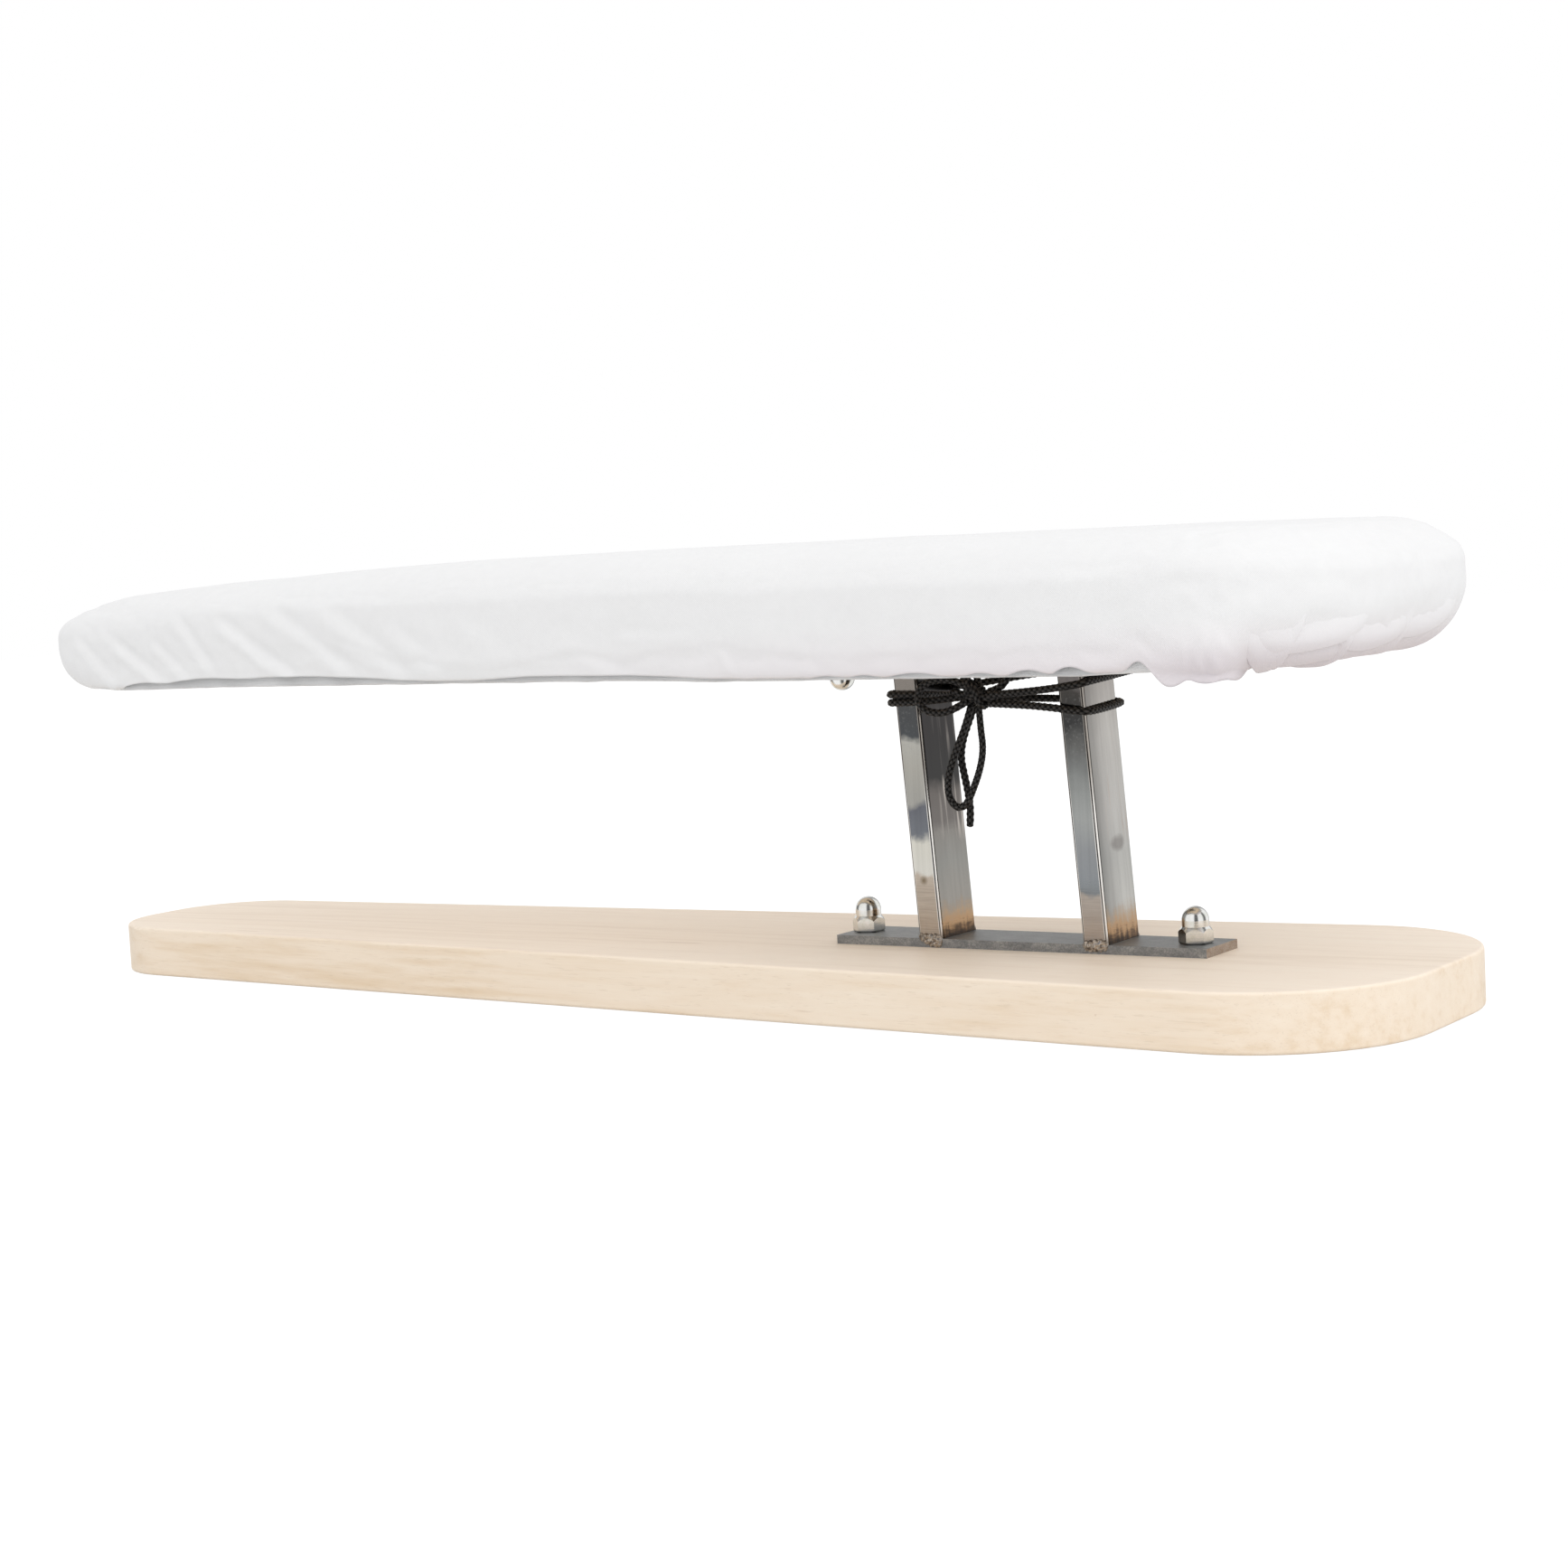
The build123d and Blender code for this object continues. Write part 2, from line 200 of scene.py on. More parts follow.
def felt_material():
    """Grey needled felt, a little blotchy, with short fibres on its surface."""
    paint = Paint("grey_needled_felt", Roughness=0.95, Specular_IOR_Level=0.15)
    paint.set("Sheen Weight", 0.3)
    paint.set("Sheen Roughness", 0.6)
    fibres = paint.noise(paint.stretched((1.0, 1.0, 2.2)), 1700.0, 4.0, 0.75, 0.6)
    slant = paint.stretched((1.0, 1.0, 1.0), turn=(0.0, 0.7, 0.0))
    patches = paint.noise(paint.stretched((1.0, 1.0, 0.25), source=slant), 46.0, 1.0, 0.4)
    tone = paint.sum("MULTIPLY_ADD", fibres, 0.3, paint.times(patches, 0.7))
    paint.set("Base Color", paint.ramp(tone, [(0.36, (0.64, 0.645, 0.65)), (0.62, (0.80, 0.805, 0.81))]))
    paint.set("Normal", paint.bump(fibres, 0.0004, 0.8))
    return paint.material


def wadding_material():
    """Soft white wadding."""
    paint = Paint("white_wadding", Roughness=1.0, Specular_IOR_Level=0.1)
    tufts = paint.noise(paint.place, 420.0, 5.0, 0.7, 1.0)
    paint.set("Base Color", paint.ramp(tufts, [(0.3, (0.74, 0.74, 0.72)), (0.7, (0.86, 0.86, 0.84))]))
    paint.set("Normal", paint.bump(tufts, 0.0012, 0.9))
    return paint.material


# Painted shade, faintly rosy, low on the cover and deepest under the heel's flaps: where each fades in along
# X and out along Z, strength, colour.
COTTON_LOW_SHADE = [
    ((-0.05, 0.22), (0.151, 0.172), 0.85, (0.800, 0.750, 0.770)),
    ((0.288, 0.318), (0.1525, 0.1610), 0.8, (0.715, 0.665, 0.690)),
]


def cotton_material():
    """White cotton twill: fine slanting ribs, faint slubs, and painted shade with a faint rosy tone low on
    the sides.
    """
    paint = Paint("white_cotton_twill", Roughness=0.88, Specular_IOR_Level=0.22)
    paint.set("Sheen Weight", 0.12)
    paint.set("Sheen Roughness", 0.5)
    ribs = paint.node(
        "TexWave", [("Vector", paint.place), ("Scale", 760.0), ("Distortion", 0.6), ("Detail", 1.0)],
        bands_direction="DIAGONAL",
    ).outputs[1]
    threads = paint.noise(paint.place, 2600.0, 3.0, 0.7)
    slubs = paint.noise(paint.place, 190.0, 3.0, 0.6)
    height = paint.sum("MULTIPLY_ADD", ribs, 0.6, paint.times(threads, 0.4))
    fine = paint.ramp(height, [(0.15, 0.955), (0.85, 1.0)])
    clean = paint.ramp(slubs, [(0.3, (0.832, 0.832, 0.832)), (0.7, (0.848, 0.848, 0.848))])
    low_shaded = clean
    # Painted shade: each band darkens the cotton low down, the second under the heel's flaps.
    for (x_low, x_high), (z_low, z_high), share, tint in COTTON_LOW_SHADE:
        heelward = paint.span(paint.axis("X"), x_low, x_high)
        low = paint.span(paint.axis("Z"), z_low, z_high, 1.0, 0.0)
        low_shaded = paint.blend(paint.times(paint.times(low, heelward), share), low_shaded, tint)
    paint.set("Base Color", paint.blend(1.0, low_shaded, fine, mode="MULTIPLY"))
    slow = paint.bump(slubs, 0.0003, 0.35)
    paint.set("Normal", paint.bump(height, 0.00012, 0.5, slow))
    return paint.material


# The wood's tones from late grain to early grain, on its sides and on its top, which is painted lighter to
# offset the arm's shadow on it.
WOOD_STOPS = (0.34, 0.50, 0.66)
WOOD_SIDE = [(0.800, 0.640, 0.460), (0.885, 0.755, 0.605), (0.915, 0.800, 0.660)]
WOOD_TOP_PAINTED_LIGHTER = [(0.880, 0.750, 0.610), (0.955, 0.835, 0.700), (0.970, 0.865, 0.735)]
# Marks in the wood: middle and half size in metres, colour, strength.
WOOD_MARKS = [
    ((0.268, -0.0940, 0.0130), (0.0012, 0.004, 0.0010), (0.50, 0.33, 0.20), 0.8),
    ((0.120, -0.0840, 0.0060), (0.0080, 0.004, 0.0007), (0.62, 0.47, 0.34), 0.5),
    ((-0.060, -0.0740, 0.0160), (0.0110, 0.004, 0.0006), (0.66, 0.51, 0.38), 0.4),
    ((0.020, -0.0300, 0.0250), (0.0140, 0.0012, 0.003), (0.60, 0.46, 0.34), 0.4),
    ((-0.240, -0.0500, 0.0250), (0.0100, 0.0010, 0.003), (0.58, 0.44, 0.32), 0.35),
]


def wood_material():
    """Pale, fine-grained wood: faint grain along the board, pores, and a few small marks."""
    paint = Paint("pale_birch", Roughness=0.52, Specular_IOR_Level=0.4)
    drift = paint.noise(paint.stretched((1.4, 5.0, 5.0)), 2.0, 2.0)
    bent = paint.sum("MULTIPLY_ADD", drift, 0.020, paint.axis("Y"))
    grain_place = paint.node("CombineXYZ", [(0, paint.axis("X")), (1, bent), (2, paint.axis("Z"))]).outputs[0]
    streaks = paint.noise(paint.stretched((9.0, 190.0, 190.0), source=grain_place), 1.0, 5.0, 0.62)
    broad = paint.noise(paint.stretched((2.2, 26.0, 26.0), source=grain_place), 1.0, 3.0)
    pores = paint.noise(paint.stretched((60.0, 1600.0, 1600.0), source=grain_place), 1.0, 2.0, 0.6)
    fleck = paint.span(pores, 0.60, 0.72)
    tone = paint.sum("MULTIPLY_ADD", streaks, 0.6, paint.times(broad, 0.4))
    side, top = (paint.ramp(tone, list(zip(WOOD_STOPS, tones))) for tones in (WOOD_SIDE, WOOD_TOP_PAINTED_LIGHTER))
    # Painted light: faces that look up take the lighter top tones.
    colour = paint.blend(paint.span(paint.facing("Z"), 0.3, 0.9), side, top)
    colour = paint.blend(paint.times(fleck, 0.22), colour, (0.56, 0.42, 0.30))
    for place, size, tint, share in WOOD_MARKS:
        shift = tuple(-p / s for p, s in zip(place, size))
        away = paint.length(paint.stretched(tuple(1.0 / s for s in size), shift=shift))
        ragged = paint.sum("MULTIPLY_ADD", streaks, 0.5, paint.sum("SUBTRACT", away, 0.25))
        colour = paint.blend(paint.span(ragged, 0.55, 1.1, share, 0.0), colour, tint)
    paint.set("Base Color", colour)
    paint.set("Roughness", paint.span(streaks, 0.3, 0.75, 0.46, 0.62))
    slow = paint.bump(streaks, 0.00010, 0.5)
    paint.set("Normal", paint.bump(fleck, -0.00006, 0.5, slow))
    return paint.material


def mill_scale_material():
    """Hot-rolled bar: blue-grey mill scale, lighter in places, its top faces painted lighter, rusty at its
    sawn ends.
    """
    paint = Paint("mill_scale_bar", Metallic=0.75, Roughness=0.46)
    cloud = paint.noise(paint.stretched((1.0, 2.0, 2.0)), 120.0, 5.0, 0.65)
    speck = paint.noise(paint.place, 1500.0, 3.0, 0.7)
    tone = paint.sum("MULTIPLY_ADD", cloud, 0.45, paint.times(speck, 0.55))
    scale_tones = [(0.34, (0.15, 0.155, 0.162)), (0.5, (0.24, 0.243, 0.243)), (0.66, (0.40, 0.395, 0.38))]
    scale = paint.ramp(tone, scale_tones)
    # Painted light: the top faces are blended towards a lighter grey.
    flat = paint.span(paint.facing("Z"), 0.5, 0.9)
    colour = paint.blend(paint.times(flat, 0.6), scale, (0.31, 0.315, 0.315))
    end = paint.span(paint.sum("ABSOLUTE", paint.facing("X")), 0.6, 0.9)
    rust = paint.ramp(tone, [(0.35, (0.30, 0.215, 0.155)), (0.62, (0.46, 0.40, 0.35))])
    paint.set("Base Color", paint.blend(end, colour, rust))
    paint.set("Roughness", paint.span(tone, 0.3, 0.7, 0.52, 0.38))
    paint.set("Normal", paint.bump(tone, 0.00012, 0.6))
    return paint.material


# Painted reflections on the legs, as tones from foot to head: position, colour. Each leg has its own on its
# front face and on its side faces. The head of the heel leg's front face is painted dark as in shadow.
TIP_FRONT_PAINTED_REFLECTIONS = [
    (0.0, (0.47, 0.40, 0.335)), (0.215, (0.52, 0.445, 0.37)), (0.235, (0.68, 0.66, 0.60)),
    (0.345, (0.66, 0.64, 0.57)), (0.372, (0.18, 0.19, 0.21)), (0.455, (0.155, 0.16, 0.18)),
    (0.485, (0.38, 0.37, 0.34)), (0.60, (0.42, 0.405, 0.365)), (0.685, (0.46, 0.45, 0.41)),
    (0.712, (0.085, 0.09, 0.095)), (0.835, (0.08, 0.08, 0.08)), (0.86, (0.25, 0.225, 0.20)),
    (1.0, (0.30, 0.27, 0.25)),
]
HEEL_FRONT_PAINTED_REFLECTIONS = [
    (0.0, (0.43, 0.375, 0.335)), (0.155, (0.46, 0.41, 0.365)), (0.175, (0.26, 0.28, 0.295)),
    (0.30, (0.29, 0.30, 0.31)), (0.42, (0.36, 0.37, 0.36)), (0.52, (0.31, 0.32, 0.31)),
    (0.62, (0.20, 0.205, 0.20)), (0.68, (0.14, 0.14, 0.135)), (0.75, (0.05, 0.05, 0.05)),
    (0.86, (0.065, 0.06, 0.055)), (0.90, (0.17, 0.155, 0.15)), (1.0, (0.20, 0.18, 0.17)),
]
TIP_SIDE_PAINTED_REFLECTIONS = [
    (0.0, (0.30, 0.24, 0.17)), (0.12, (0.33, 0.31, 0.28)), (0.27, (0.29, 0.285, 0.265)),
    (0.375, (0.26, 0.245, 0.225)), (0.41, (0.17, 0.155, 0.145)), (0.50, (0.15, 0.135, 0.125)),
    (0.56, (0.038, 0.037, 0.036)), (0.75, (0.036, 0.033, 0.033)), (1.0, (0.032, 0.029, 0.027)),
]
HEEL_SIDE_PAINTED_REFLECTIONS = [
    (0.0, (0.50, 0.42, 0.34)), (0.14, (0.52, 0.51, 0.48)), (0.30, (0.47, 0.465, 0.44)),
    (0.42, (0.52, 0.505, 0.48)), (0.70, (0.52, 0.50, 0.47)), (0.88, (0.40, 0.375, 0.35)),
    (1.0, (0.33, 0.31, 0.29)),
]
# Painted reflection: tone of the heel leg's side face across its width, which multiplies the tones above.
HEEL_SIDE_PAINTED_REFLECTION = [(0.0, 0.50), (0.28, 0.75), (0.42, 0.90), (0.58, 1.0), (0.8, 1.0), (1.0, 0.9)]
# Where the tip leg's side face shows painted highlights in bright lens shapes, from foot to head.
PAINTED_GLINT_ZONE = [(0.33, 0.0), (0.39, 1.0), (0.52, 1.0), (0.58, 0.0), (0.70, 0.35), (0.82, 0.0)]
SPECK_ZONE = [(0.60, 0.0), (0.66, 0.30), (0.84, 0.30), (0.88, 0.0)]
HEAT_TINT = [
    (0.24, (0.05, 0.035, 0.025)), (0.34, (0.15, 0.09, 0.05)), (0.46, (0.46, 0.29, 0.155)),
    (0.66, (0.42, 0.30, 0.19)), (0.9, (0.30, 0.22, 0.15)),
]
# Painted highlight along the legs' rounded corners, with a dark painted reflection line in it.
CORNER_PAINTED_HIGHLIGHT = [(0.45, (0.95, 0.92, 0.88)), (0.62, (0.45, 0.41, 0.37)), (1.0, (0.34, 0.31, 0.28))]
CORNER_PAINTED_DARK_LINE = [(0.26, 1.0), (0.36, 0.16), (0.52, 0.16), (0.62, 1.0)]
# Heights of the bands' ends, and the X between the legs where one leg's tones give way to the other's.
BAND_HEIGHTS = (0.029, 0.156)
LEG_PARTING = (0.185, 0.187)
# A smudge on the heel leg's side face: Y and Z of its middle, and how many of it make a metre.
SMUDGE_PLACE = (0.002, 0.0712)
SMUDGE_SCALE = (150.0, 300.0)
# A burn on the tip leg's front face: X and Z of its middle, and how many of it make a metre.
BURN_PLACE = (0.1443, 0.0550)
BURN_SCALE = 700.0


def leg_front(paint, place, heelward):
    """Painted reflections in bands on the legs' front and back faces, with specks near the head."""
    # Painted reflections: each leg's front bands blend into the other's between the legs.
    front = paint.blend(heelward, paint.ramp(place, TIP_FRONT_PAINTED_REFLECTIONS), paint.ramp(place, HEEL_FRONT_PAINTED_REFLECTIONS))
    specks = paint.span(paint.noise(paint.place, 900.0, 3.0, 0.75), 0.56, 0.68)
    return paint.blend(paint.times(specks, paint.ramp(place, SPECK_ZONE)), front, (0.34, 0.34, 0.33))


def leg_side(paint, place, heelward, cloud):
    """Painted reflections on the legs' side faces: bands, painted highlights in bright lens shapes, and one
    smudge.
    """
    side = paint.blend(heelward, paint.ramp(place, TIP_SIDE_PAINTED_REFLECTIONS), paint.ramp(place, HEEL_SIDE_PAINTED_REFLECTIONS))
    across = paint.span(paint.axis("Y"), -0.015, 0.015)
    # Painted reflection across the heel leg's side face.
    shaded = paint.blend(1.0, side, paint.ramp(across, HEEL_SIDE_PAINTED_REFLECTION), mode="MULTIPLY")
    side = paint.blend(heelward, side, shaded)
    # Painted highlights: bright lens-shaped glints on the tip leg's side face.
    lens = paint.span(paint.noise(paint.stretched((1.0, 260.0, 24.0)), 1.0, 1.0, 0.4), 0.50, 0.60)
    glint_place = paint.times(paint.ramp(place, PAINTED_GLINT_ZONE), paint.span(across, 0.25, 0.45))
    side = paint.blend(paint.times(glint_place, lens), side, (0.46, 0.42, 0.385))
    (y, z), (y_scale, z_scale) = SMUDGE_PLACE, SMUDGE_SCALE
    away = paint.length(paint.stretched((1.0, y_scale, z_scale), shift=(0.0, -y * y_scale, -z * z_scale)))
    blot = paint.span(paint.sum("MULTIPLY_ADD", cloud, 1.4, away), 1.3, 1.9, 0.6, 0.0)
    return paint.blend(paint.times(blot, heelward), side, (0.17, 0.15, 0.14))


def leg_streaks(paint, height, lines, sideways):
    """Fine drawing lines along the tube, and cross rubbing low on its front faces."""
    streak = paint.ramp(lines, [(0.3, 0.86), (0.7, 1.0)])
    rubbed = paint.noise(paint.stretched((60.0, 60.0, 2400.0)), 1.0, 3.0, 0.6)
    low = paint.span(height, 0.050, 0.058, 1.0, 0.0)
    frontal = paint.span(sideways, 0.0, 0.5, 1.0, 0.0)
    return paint.blend(paint.times(low, frontal), streak, paint.ramp(rubbed, [(0.35, 0.78), (0.65, 1.0)]))


def leg_heat(paint, colour, height, ragged, sideways):
    """Adds the welds' heat tint at the foot, mostly on the side faces, and at the head."""
    tint = paint.ramp(paint.span(ragged, 0.034, 0.060), HEAT_TINT)
    heated = paint.span(ragged, 0.048, 0.056, 0.95, 0.0)
    colour = paint.blend(paint.times(heated, paint.span(sideways, 0.0, 1.0, 0.12, 1.0)), colour, tint)
    return paint.blend(paint.span(height, 0.146, 0.156, 0.0, 0.8), colour, (0.30, 0.20, 0.13))


def leg_corner_highlights(paint, colour, height, place, slope):
    """Adds painted highlights along each rounded corner: a bright line with a dark painted reflection line in
    it.
    """
    edge = paint.times(paint.span(slope, 0.16, 0.24), paint.span(slope, 0.84, 0.90, 1.0, 0.0))
    line = paint.blend(1.0, paint.ramp(place, CORNER_PAINTED_HIGHLIGHT), paint.ramp(slope, CORNER_PAINTED_DARK_LINE), mode="MULTIPLY")
    return paint.blend(paint.times(edge, paint.span(height, 0.029, 0.034)), colour, line)


def leg_burn(paint, colour):
    """Adds the burnt spot by the tip leg's foot weld."""
    x, z = BURN_PLACE
    spot = paint.stretched((BURN_SCALE, 1.0, BURN_SCALE), shift=(-x * BURN_SCALE, 0.0, -z * BURN_SCALE))
    front = paint.span(paint.facing("Y"), -0.9, -0.6, 1.0, 0.0)
    burn = paint.times(paint.span(paint.length(spot), 0.3, 1.7, 0.75, 0.0), front)
    return paint.blend(burn, colour, (0.14, 0.10, 0.05))


def leg_material():
    """Bright drawn tube: painted reflections in bands and along the corners, brushed ends, and gold and brown
    heat tint by the welds.
    """
    paint = Paint("bright_tube", Metallic=1.0, Roughness=0.16)
    height = paint.axis("Z")
    lines = paint.noise(paint.stretched((420.0, 420.0, 5.0)), 1.0, 4.0, 0.6)
    scuffs = paint.noise(paint.stretched((130.0, 130.0, 620.0)), 1.0, 4.0, 0.7)
    cloud = paint.noise(paint.place, 90.0, 3.0)
    slope = paint.sum("ABSOLUTE", paint.facing("X"))
    sideways = paint.span(slope, 0.55, 0.9)
    heelward = paint.span(paint.axis("X"), *LEG_PARTING)
    waver = paint.sum("MULTIPLY_ADD", cloud, 0.012, paint.sum("SUBTRACT", height, 0.006))
    place = paint.span(waver, *BAND_HEIGHTS)
    front, side = leg_front(paint, place, heelward), leg_side(paint, place, heelward, cloud)
    colour = paint.blend(sideways, front, side)
    colour = paint.blend(1.0, colour, leg_streaks(paint, height, lines, sideways), mode="MULTIPLY")
    ragged = paint.sum("MULTIPLY_ADD", lines, 0.012, paint.sum("MULTIPLY_ADD", scuffs, 0.010, height))
    colour = leg_heat(paint, colour, height, ragged, sideways)
    colour = leg_corner_highlights(paint, colour, height, place, slope)
    paint.set("Base Color", leg_burn(paint, colour))
    brushed = paint.span(height, 0.052, 0.058, 0.34, 0.14)
    front_rough = paint.sum("MULTIPLY_ADD", scuffs, 0.10, brushed)
    paint.set("Roughness", paint.blend(sideways, front_rough, paint.span(height, 0.03, 0.07, 0.30, 0.10)))
    paint.set("Normal", paint.bump(paint.sum("MULTIPLY_ADD", scuffs, 0.5, lines), 0.00003, 0.5))
    return paint.material


def weld_material():
    """Weld bead: bright rippled metal with straw and blue heat tint."""
    paint = Paint("weld_bead", Metallic=1.0, Roughness=0.34)
    cloud = paint.noise(paint.place, 420.0, 4.0, 0.65)
    stops = [
        (0.34, (0.10, 0.09, 0.085)), (0.45, (0.30, 0.255, 0.215)), (0.55, (0.56, 0.50, 0.43)),
        (0.68, (0.24, 0.25, 0.285)),
    ]
    paint.set("Base Color", paint.ramp(cloud, stops))
    paint.set("Normal", paint.bump(paint.noise(paint.place, 2400.0, 3.0, 0.7), 0.00012, 0.6))
    return paint.material


def zinc_material():
    """Bright zinc plate: shiny, faintly yellow-green, with fine tool marks, and painted contact shadow
    darkening the nuts' lower parts by their seats.
    """
    paint = Paint("zinc_plate", Metallic=1.0, Roughness=0.14)
    cloud = paint.noise(paint.place, 300.0, 3.0)
    rings = paint.noise(paint.stretched((60.0, 60.0, 3800.0)), 1.0, 2.0)
    bright = paint.ramp(cloud, [(0.35, (0.74, 0.745, 0.70)), (0.65, (0.86, 0.86, 0.85))])
    # Painted contact shadow: the foot nuts darken towards where they sit on the plate.
    contact_height = paint.span(paint.axis("Z"), 0.0290, 0.0340)
    contact_shadow = paint.ramp(contact_height, [(0.0, 0.10), (0.10, 0.30), (0.22, 0.72), (1.0, 1.0)])
    paint.set("Base Color", paint.blend(1.0, bright, contact_shadow, mode="MULTIPLY"))
    paint.set("Roughness", paint.span(rings, 0.3, 0.7, 0.10, 0.22))
    paint.set("Normal", paint.bump(paint.sum("MULTIPLY_ADD", cloud, 0.5, rings), 0.00002, 0.4))
    return paint.material


def staple_material():
    """Galvanised staple wire."""
    paint = Paint("staple_wire", Metallic=1.0, Roughness=0.3)
    cloud = paint.noise(paint.place, 900.0, 3.0)
    paint.set("Base Color", paint.ramp(cloud, [(0.3, (0.50, 0.50, 0.51)), (0.7, (0.68, 0.68, 0.68))]))
    paint.set("Normal", paint.bump(cloud, 0.00002, 0.4))
    return paint.material


def cord_material():
    """Black braided polyester: matt yarn with a faint sheen, painted darker in the braid's grooves and
    lighter on its lumps.
    """
    paint = Paint("black_braid", Roughness=0.45, Specular_IOR_Level=0.45)
    paint.set("Sheen Weight", 0.04)
    paint.set("Sheen Roughness", 0.4)
    fibres = paint.noise(paint.place, 5200.0, 3.0, 0.7)
    lump = paint.node("Attribute", attribute_name="lump").outputs["Fac"]
    # Painted shade and highlight: the colour follows the braid's relief, darker in the grooves and lighter on
    # the lumps.
    tone = paint.sum("MULTIPLY_ADD", fibres, 0.25, paint.times(lump, 0.75))
    black = [(0.45, (0.0015, 0.0015, 0.0015)), (0.90, (0.030, 0.028, 0.027))]
    paint.set("Base Color", paint.ramp(tone, black))
    paint.set("Specular IOR Level", paint.span(lump, 0.5, 0.95, 0.05, 0.5))
    paint.set("Normal", paint.bump(fibres, 0.00008, 0.8))
    return paint.material


BLACK_BRAID = cord_material()
COTTON = cotton_material()
FELT = felt_material()
WADDING = wadding_material()
WOOD = wood_material()
MILL_SCALE = mill_scale_material()
BRIGHT_TUBE = leg_material()
WELD = weld_material()
ZINC = zinc_material()
STAPLE = staple_material()

NODE_MATERIALS = {
    "base_board": WOOD,
    "top_board": WOOD,
    "foot_plate": MILL_SCALE,
    "head_plate": MILL_SCALE,
    "tip_leg": BRIGHT_TUBE,
    "heel_leg": BRIGHT_TUBE,
    "foot_bolts": ZINC,
    "head_bolts": ZINC,
    "foot_cap_nuts": ZINC,
    "head_cap_nuts": ZINC,
    "felt_staples": STAPLE,
}


def paint_nodes():
    """Gives the frame's own parts their finishes."""
    for node, material in NODE_MATERIALS.items():
        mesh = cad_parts[node].data
        mesh.materials.clear()
        mesh.materials.append(material)
        for face in mesh.polygons:
            face.material_index = 0


# ---------------------------------------------------------------- mesh helpers


def new_piece(name, points, faces, material, smooth=True):
    """A mesh object from points in millimetres, riding on the object's one body."""
    mesh = bpy.data.meshes.new(name)
    mesh.from_pydata((np.asarray(points) * MM).tolist(), [], [tuple(f) for f in faces])
    mesh.materials.append(material)
    if smooth:
        mesh.shade_smooth()
    piece = bpy.data.objects.new(name, mesh)
    collection.objects.link(piece)
    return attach(piece, "root")


def grid_faces(rows, columns, closed=True):
    """Quads over a grid of points, row by row. closed joins the last column to the first."""
    last = columns if closed else columns - 1
    r, c = np.meshgrid(np.arange(rows - 1), np.arange(last), indexing="ij")
    d = (c + 1) % columns
    quads = np.stack([r * columns + c, r * columns + d, (r + 1) * columns + d, (r + 1) * columns + c], -1)
    return quads.reshape(-1, 4).tolist()


def unit(vectors):
    """Vectors scaled to length one."""
    return vectors / np.maximum(np.linalg.norm(vectors, axis=-1, keepdims=True), 1e-12)


def smoothstep(value):
    """Ease from 0 to 1."""
    t = np.clip(value, 0.0, 1.0)
    return t * t * (3.0 - 2.0 * t)


# ---------------------------------------------------------------- drawcord

CORD_DIAMETER = 3.5
BRAID_RING = 36
BRAID_STEP = 0.34
BRAID_STRANDS = 4
BRAID_PITCH = 11.0
BRAID_RELIEF = 0.58
# How sharply a strand's ridge falls off, and how long and how narrow a bare cord's tapered end is.
STRAND_SHARPNESS = 1.75
TAPER_LENGTH = 1.6
TAPER_TIP = 0.35
SPLINE_RESOLUTION = 48


def spline_line(name, route):
    """Points in millimetres read from the smooth line that a cord's route describes."""
    curve = bpy.data.curves.new(name, "CURVE")
    curve.dimensions = "3D"
    curve.resolution_u = SPLINE_RESOLUTION
    spline = curve.splines.new("NURBS")
    spline.points.add(len(route) - 1)
    for point, place in zip(spline.points, route):
        point.co = (*place, 1.0)
    spline.order_u = 3
    spline.use_endpoint_u = True
    holder = bpy.data.objects.new(name, curve)
    collection.objects.link(holder)
    mesh = bpy.data.meshes.new_from_object(holder)
    line = np.array([v.co for v in mesh.vertices], float) / MM
    bpy.data.objects.remove(holder)
    bpy.data.curves.remove(curve)
    bpy.data.meshes.remove(mesh)
    return line


def evenly(line, step):
    """The same line with points a step apart."""
    lengths = np.linalg.norm(np.diff(line, axis=0), axis=1)
    along = np.concatenate([[0.0], np.cumsum(lengths)])
    count = max(int(round(along[-1] / step)), 2)
    places = np.linspace(0.0, along[-1], count + 1)
    return np.stack([np.interp(places, along, line[:, k]) for k in range(3)], 1), places


def carried_frames(line, closed=False):
    """Two directions across a line at each point, turning as little as they can."""
    if closed:
        tangents = unit(np.roll(line, -1, 0) - np.roll(line, 1, 0))
    else:
        tangents = unit(np.gradient(line, axis=0))
    start = np.cross(tangents[0], (0.31, 0.23, 0.92))
    across = [start / np.linalg.norm(start)]
    for tangent in tangents[1:]:
        moved = across[-1] - tangent * np.dot(across[-1], tangent)
        across.append(moved / np.linalg.norm(moved))
    across = np.array(across)
    return across, np.cross(tangents, across)


def braid_height(turn, along):
    """Relief of a braid from 0 to 1, at an angle round the cord and a distance along it."""
    first = BRAID_STRANDS * (turn / tau + along / BRAID_PITCH)
    second = BRAID_STRANDS * (turn / tau - along / BRAID_PITCH)

    def ridge(own, other, sign):
        nearest = np.round(own)
        profile = np.sqrt(np.clip(1.0 - (STRAND_SHARPNESS * (own - nearest)) ** 2, 0.0, 1.0))
        return profile * (0.5 + 0.5 * sign * np.cos(pi * (nearest + other)))

    return np.maximum(ridge(first, second, 1.0), ridge(second, first, -1.0))


